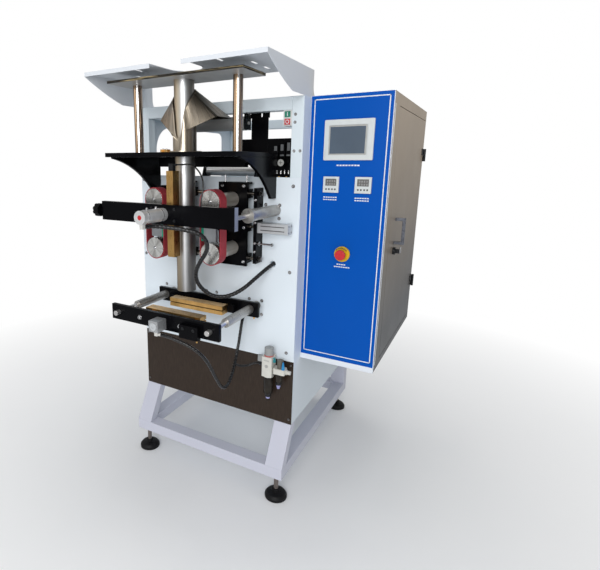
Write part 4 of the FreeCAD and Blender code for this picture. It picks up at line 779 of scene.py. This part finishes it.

# Cross jaws. Two black steel plates, the front one fixed to two shafts that slide in sleeves, with a brass
# jaw each between black holders; bright bolts hold them, and a small square cylinder drives the knife.
# The shafts' and lower roller's steel is painted by which way each face points: a painted highlight on faces
# turned upwards and painted shade on those turned down, in bands.
barrel_steel, tree, surface = shader("barrel_steel")
painted_light_by_facing = ((0.22, 0.42), (0.42, 0.70), (0.55, 0.52), (0.70, 1.0), (0.86, 0.90))
stops = [(0.0, (0.30, 0.28, 0.26))]
stops += [(spot, (shade, shade * 0.98, shade * 0.96)) for spot, shade in painted_light_by_facing]
stops += [(1.0, (0.80, 0.79, 0.78))]
sway = spread(mottle(tree, 26.0, 3.0, (1.0, 0.8, 1.0)), -0.04, 0.04)
link(banded(wavy(split(coordinate(tree, "Normal"))["Z"], sway), stops), surface.inputs["Base Color"])
surface.inputs["Metallic"].default_value = 0.9
link(spread(mottle(tree, 300.0, 2.0, (1.0, 0.05, 1.0)), 0.26, 0.38), surface.inputs["Roughness"])
front, rear = "front_jaw_unit", "rear_jaw_unit"
eased("front_jaw_plate_piece", "front_jaw_plate", 0.001, black_satin, front)
eased("rear_jaw_plate_piece", "rear_jaw_plate", 0.001, black_satin, rear)
eased("front_jaw_bar", "front_jaw", 0.0008, brass, front)
eased("rear_jaw_bar", "rear_jaw", 0.0008, brass, rear)
eased("shafts", "jaw_shafts", 0.001, barrel_steel, front)
eased("sleeves", "jaw_sleeves", 0.0012, sleeve_steel)
turned_set("jaw_bolts", [(x, -370, 832) for x in (-107, 85)], "-y", screw(7, 7), bright_steel, front)
turned_set("clamp_bolts", [(x, -392, 835) for x in (112, 158)], "-y", screw(5, 4), black_moulded, front)
nipple = [(0, 5), (3, 5), (3, 3.5), (9, 3.5), (10, 2.5), (10, 0)]
turned_set("jaw_nipple", [(166, -380, 797)], "-z", nipple, brass, front)
turned_set("rear_jaw_nipple", [(232, -56, 803)], "-z", nipple, brass, rear)
knife_alloy = metal("knife_alloy", (0.40, 0.41, 0.42), 0.3, 0.8, 30.0, metallic=0.4)
knife = eased("knife_cylinder_body", "knife_cylinder", 0.003, knife_alloy, front)
tone(knife, fitting_white, lambda x, y, z: (z < 806) & (y < -385))
turned_set("knife_cap", [(0, -422, 829)], "-y", [(0, 15), (2.5, 15), (3, 14), (3, 6), (1, 5), (1, 0)],
           turned_alloy, front, 40)

# Control cabinet. Sheet steel box beside the body: its front covered by blue film with a thin white border
# line and plain marks over white paint, its sides and hinged door in beige.
film_blue = enamel("film_blue", (0.0, 0.082, 0.43), 0.3, 0.93, 3.0, 0.08)
# The beige has painted shade: it darkens to near black from 1.65 m high down to 0.75 m.
beige = enamel("cabinet_beige", (0.54, 0.43, 0.315), 0.34, 0.92, 2.0, 0.2,
               (0.07, 0.07, 0.073))
strip_white = enamel("strip_white", (0.74, 0.78, 0.84))
eased("cabinet_face", "cabinet_front", 0.0008, strip_white)
blocks("film_sheet", [(391.5, 688.5, 74.6, 75, 634, 1664.5)], 0.0001, film_blue)
mark_white = plastic("mark_white", (0.82, 0.84, 0.86), 0.4)
left, right, low, high, thick = 403, 677, 651, 1652.5, 3.5
line_sides = [(left, right, low, low + thick), (left, right, high - thick, high),
              (left, left + thick, low, high), (right - thick, right, low, high)]
blocks("border_line", [(x0, x1, 74.3, 74.7, z0, z1) for x0, x1, z0, z1 in line_sides], 0.00005, mark_white)
captions = [(500 + i * 11, 508 + i * 11, 1409, 1414) for i in range(8)]
captions += [(x + i * 9, x + 7 + i * 9, z, z + 4) for x in (455, 575) for z in (1290, 1281)
             for i in range(6)]
captions += [(522 + i * 9, 529 + i * 9, 1032, 1036) for i in range(4)]
captions += [(512 + i * 9, 519 + i * 9, 1022, 1026) for i in range(7)]
blocks("captions", [(x0, x1, 74.3, 74.7, z0, z1) for x0, x1, z0, z1 in captions], 0.00005, mark_white)
for name, solid in (("cabinet_back", "cabinet_rear"), ("cabinet_inner_wall", "cabinet_left"),
                    ("cabinet_top_and_floor", "cabinet_caps"), ("cabinet_side_frame", "cabinet_door_frame")):
    eased(name, solid, 0.0008, beige)
eased("side_door", "cabinet_door", 0.0012, beige, "cabinet_door")
blocks("corner_trim", [(689.9, 690.9, 77, 80, 616, 1660), (689.9, 691.5, 96, 99, 640, 1624)], 0.0002,
       strip_white)
eased("hinge_bodies", "hinge_pins", 0.0008, black_moulded)
eased("hinge_flaps", "hinge_leaves", 0.0008, black_moulded, "cabinet_door")
grip_grey = metal("grip_grey", (0.17, 0.18, 0.21), 0.32, 0.6, 30.0)
grip = eased("door_grip", "door_handle", 0.0015, grip_grey, "cabinet_door")
tone(grip, black_moulded, lambda x, y, z: (z < 1088) & (x < 712))
blocks("lock_key", [(715, 722, 281, 283.5, 1062, 1078), (716, 720, 276, 288, 1074, 1090)], 0.0008,
       bright_steel, "cabinet_door")

# Instruments. Touch panel with a pale bezel and dark glass, two small controllers with dark displays and
# keys, and the emergency stop: red mushroom on a yellow collar with dark marks.
bezel_pale = plastic("bezel_pale", (0.63, 0.66, 0.66), 0.4, 0.94, specular=0.3)
eased("instruments", "cabinet_instruments", 0.0015, bezel_pale)
glass_dark = plastic("glass_dark", (0.085, 0.115, 0.155), 0.2, 0.8, 6.0, 0.4, 0.00001)
lip_grey = plastic("lip_grey", (0.42, 0.42, 0.40), 0.4)
blocks("panel_lip", [(467, 606, 66.2, 67.2, 1449, 1555)], 0.0006, lip_grey)
blocks("panel_glass", [(472, 601, 65.9, 66.4, 1454, 1550)], 0.0002, glass_dark)
controllers = (484, 604)
display_grey = plastic("display_grey", (0.17, 0.165, 0.16), 0.25, 0.6, 200.0)
blocks("controller_glass", [(x - 21, x + 21, 65.4, 66.2, 1336, 1362) for x in controllers], 0.0003,
       display_grey)
blocks("controller_keys", [(x + d, x + d + 6, 65, 66.2, 1320, 1326) for x in controllers
                           for d in (-20, -9, 3, 14)], 0.0008, dark_marks_and_groove_shade)
digit_grey = plastic("digit_grey", (0.26, 0.26, 0.255), 0.4)
blocks("display_digits", [(x + d, x + d + 5, 65.2, 65.6, z, z + 7) for x in controllers for z in (1350, 1339)
                          for d in (-15, -6, 3, 12)], 0.0003, digit_grey)
stop_yellow = plastic("stop_yellow", (0.72, 0.43, 0.01), 0.35, specular=0.3)
eased("stop_ring", "estop_base", 0.001, stop_yellow)
stop_red = plastic("stop_red", (0.62, 0.03, 0.04), 0.3, specular=0.3)
eased("stop_head", "estop_button", 0.0025, stop_red, "stop_button")
ring_marks = []
stop_x, stop_z, ring_radius, step = 542, 1076, 25.5, 12
for mark in range(-4, 5):
    away = math.radians(90 + mark * step)
    at_x, at_z = stop_x + ring_radius * math.cos(away), stop_z + ring_radius * math.sin(away)
    ring_marks.append((at_x - 1.6, at_x + 1.6, 56.7, 57.3, at_z - 1.8, at_z + 1.8))
blocks("ring_marks", ring_marks, 0.0001, dark_marks_and_groove_shade)

# Film rollers, hanger, valves and switch in the open bay at the top. The switch has a green and a red key
# in a white frame; the valve panel carries a round gauge, a sight tube and small fittings.
roller_grey = enamel("roller_grey", (0.36, 0.36, 0.355), 0.35)
eased("roller_arms", "roller_brackets", 0.0008, black_satin)
eased("upper_roller", "guide_roller", 0.0008, roller_grey, "film_roller")
eased("steel_roller", "lower_roller", 0.0, barrel_steel, "low_film_roller")
eased("hanger", "hanger_plate", 0.0008, black_satin)
turned_set("hanger_screws", [(x, 48, 1620) for x in (150, 205)], "-y", screw(4.5, 4), bright_steel)
eased("valves", "valve_panel", 0.0008, black_satin)
valve_grey = plastic("valve_grey", (0.10, 0.105, 0.11), 0.4)
valve_labels = [(265 + 27 * i, 281 + 27 * i, 19.4, 20.2, 1446, 1452) for i in range(3)]
valve_labels += [(267 + 27 * i, 279 + 27 * i, 19.2, 20.2, 1466, 1484 + 6 * i) for i in range(3)]
blocks("valve_labels", valve_labels, 0.0004, valve_grey)
turned_set("gauge_face", [(299, 14.2, 1421)], "-y", [(0, 13), (1.5, 13), (2, 12), (1.2, 11), (1.2, 0)],
           lip_grey, sides=32)
blocks("gauge_hand", [(298, 300, 12.4, 12.9, 1414, 1430), (292, 306, 12.4, 12.9, 1420, 1422)], 0.0002,
       dark_marks_and_groove_shade)
turned_set("sight_tube", [(338, 30, 1430)], "z",
           [(0, 3.5), (3, 3.5), (3, 2.6), (70, 2.6), (70, 3.5), (74, 3.5), (74, 0)], fitting_white)
turned_set("valve_fittings", [(x, 34, 1379) for x in (276, 292, 308, 324)], "z",
           [(0, 4.5), (4, 4.5), (4, 3), (12, 3), (13, 2), (13, 0)], bright_steel)
turned_set("valve_silencers", [(x, 34, 1369) for x in (284, 316)], "-z",
           [(0, 3.5), (14, 3.5), (16, 2), (16, 0)], brass)
switch_white = plastic("switch_white", (0.74, 0.75, 0.74), 0.4)
eased("switch_box", "mains_switch", 0.0012, switch_white)
key_green = plastic("key_green", (0.01, 0.22, 0.14), 0.4)
key_red = plastic("key_red", (0.62, 0.03, 0.04), 0.4)
blocks("key_on", [(314, 337, 1.2, 2.3, 1587.5, 1608.5)], 0.0008, key_green)
blocks("key_off", [(314, 337, 1.2, 2.3, 1560.5, 1581.5)], 0.0008, key_red)
blocks("mark_on", [(324.2, 326.8, 0.7, 1.4, 1591, 1605)], 0.0002, mark_white)
turned_set("mark_off", [(325.5, 1.3, 1571)], "-y", [(0, 7.6), (0.6, 7.4), (0.6, 5.2), (0, 5.0)], mark_white)

# Air service unit. Filter-regulator and oiler on the front panel: moulded ivory bodies, dark clear bowls with
# drains, a grey knob over a red lock ring, a black inlet with a grey gauge and a blue sight dome.
ivory = plastic("ivory", (0.66, 0.65, 0.60), 0.4, 0.9, specular=0.3)
filter_axis, oiler_axis = (296, -38), (342, -38)
unit = eased("air_unit", "air_service_unit", 0.0014, ivory)
knob_grey = plastic("knob_grey", (0.33, 0.34, 0.34), 0.45)
bowl_smoke = plastic("bowl_smoke", (0.010, 0.008, 0.006), 0.14, 2.6, 26.0, 0.25, 0.00001)
ring_red = plastic("ring_red", (0.60, 0.10, 0.09), 0.4)
dome_blue = plastic("dome_blue", (0.02, 0.28, 0.62), 0.2)
teal = plastic("teal_fitting", (0.02, 0.25, 0.28), 0.35)
knob_brown = plastic("knob_brown", (0.13, 0.12, 0.10), 0.4)
tone(unit, knob_grey, lambda x, y, z: (z > 640.5) & (x < 320))
tone(unit, bowl_smoke, lambda x, y, z: (z < 552.5) | ((z < 571.5) & (x > 322) & (z > 529)))
tone(unit, black_moulded, lambda x, y, z: (x < 272) & (z < 606))
tone(unit, knob_grey, lambda x, y, z: (x < 270) & (z > 606))
tone(unit, dome_blue, lambda x, y, z: (x > 354) & (z > 596.5) & (y < -44))
tone(unit, knob_brown, lambda x, y, z: (x > 330) & (x < 361) & (z > 597) & (y > -52))
turned_set("lock_ring", [(*filter_axis, 640)], "z", [(0, 17), (0, 19.2), (4, 19.2), (4, 17)], ring_red,
           sides=40)
turned_set("knob_ribs", [(*filter_axis, z) for z in (650, 660, 670)], "z",
           [(0, 18.3), (1, 19.1), (3, 19.1), (4, 18.3)], knob_grey, sides=40)
turned_set("bowl_clasps", [(*filter_axis, 549)], "z", [(0, 20), (0, 22), (8, 22), (8, 20)], ivory, sides=40)
turned_set("bowl_feet", [(*filter_axis, 468), (*oiler_axis, 532)], "-z",
           [(0, 12), (3, 13), (10, 13), (12, 9), (12, 0)], black_moulded)
drain_violet = plastic("drain_violet", (0.36, 0.36, 0.62), 0.4)
turned_set("bowl_drains", [(*filter_axis, 456), (*oiler_axis, 520)], "-z",
           [(0, 8.5), (8, 8.5), (10, 6), (16, 6), (17, 5), (17, 0)], drain_violet)
turned_set("port_mark", [(296, -62, 600)], "-y",
           [(0, 7), (1.2, 7), (1.6, 6), (1.6, 4), (0.8, 3.4), (0.8, 0)], lip_grey)
blocks("label_lines", [(284 + i * 5, 287 + i * 5, -62.4, -61.8, 622, 628) for i in range(5)], 0.0001,
       lip_grey)
turned_set("hose_fitting", [(321, -40, 617)], "z", [(0, 7), (9, 7), (10, 5), (18, 5), (18, 0)], teal)
turned_set("outlet_nut", [(372, -38, 584)], "x", [(0, 8.6), (0, 10.5), (7, 10.5), (7, 8.6)], ivory, sides=6,
           crease=20.0)
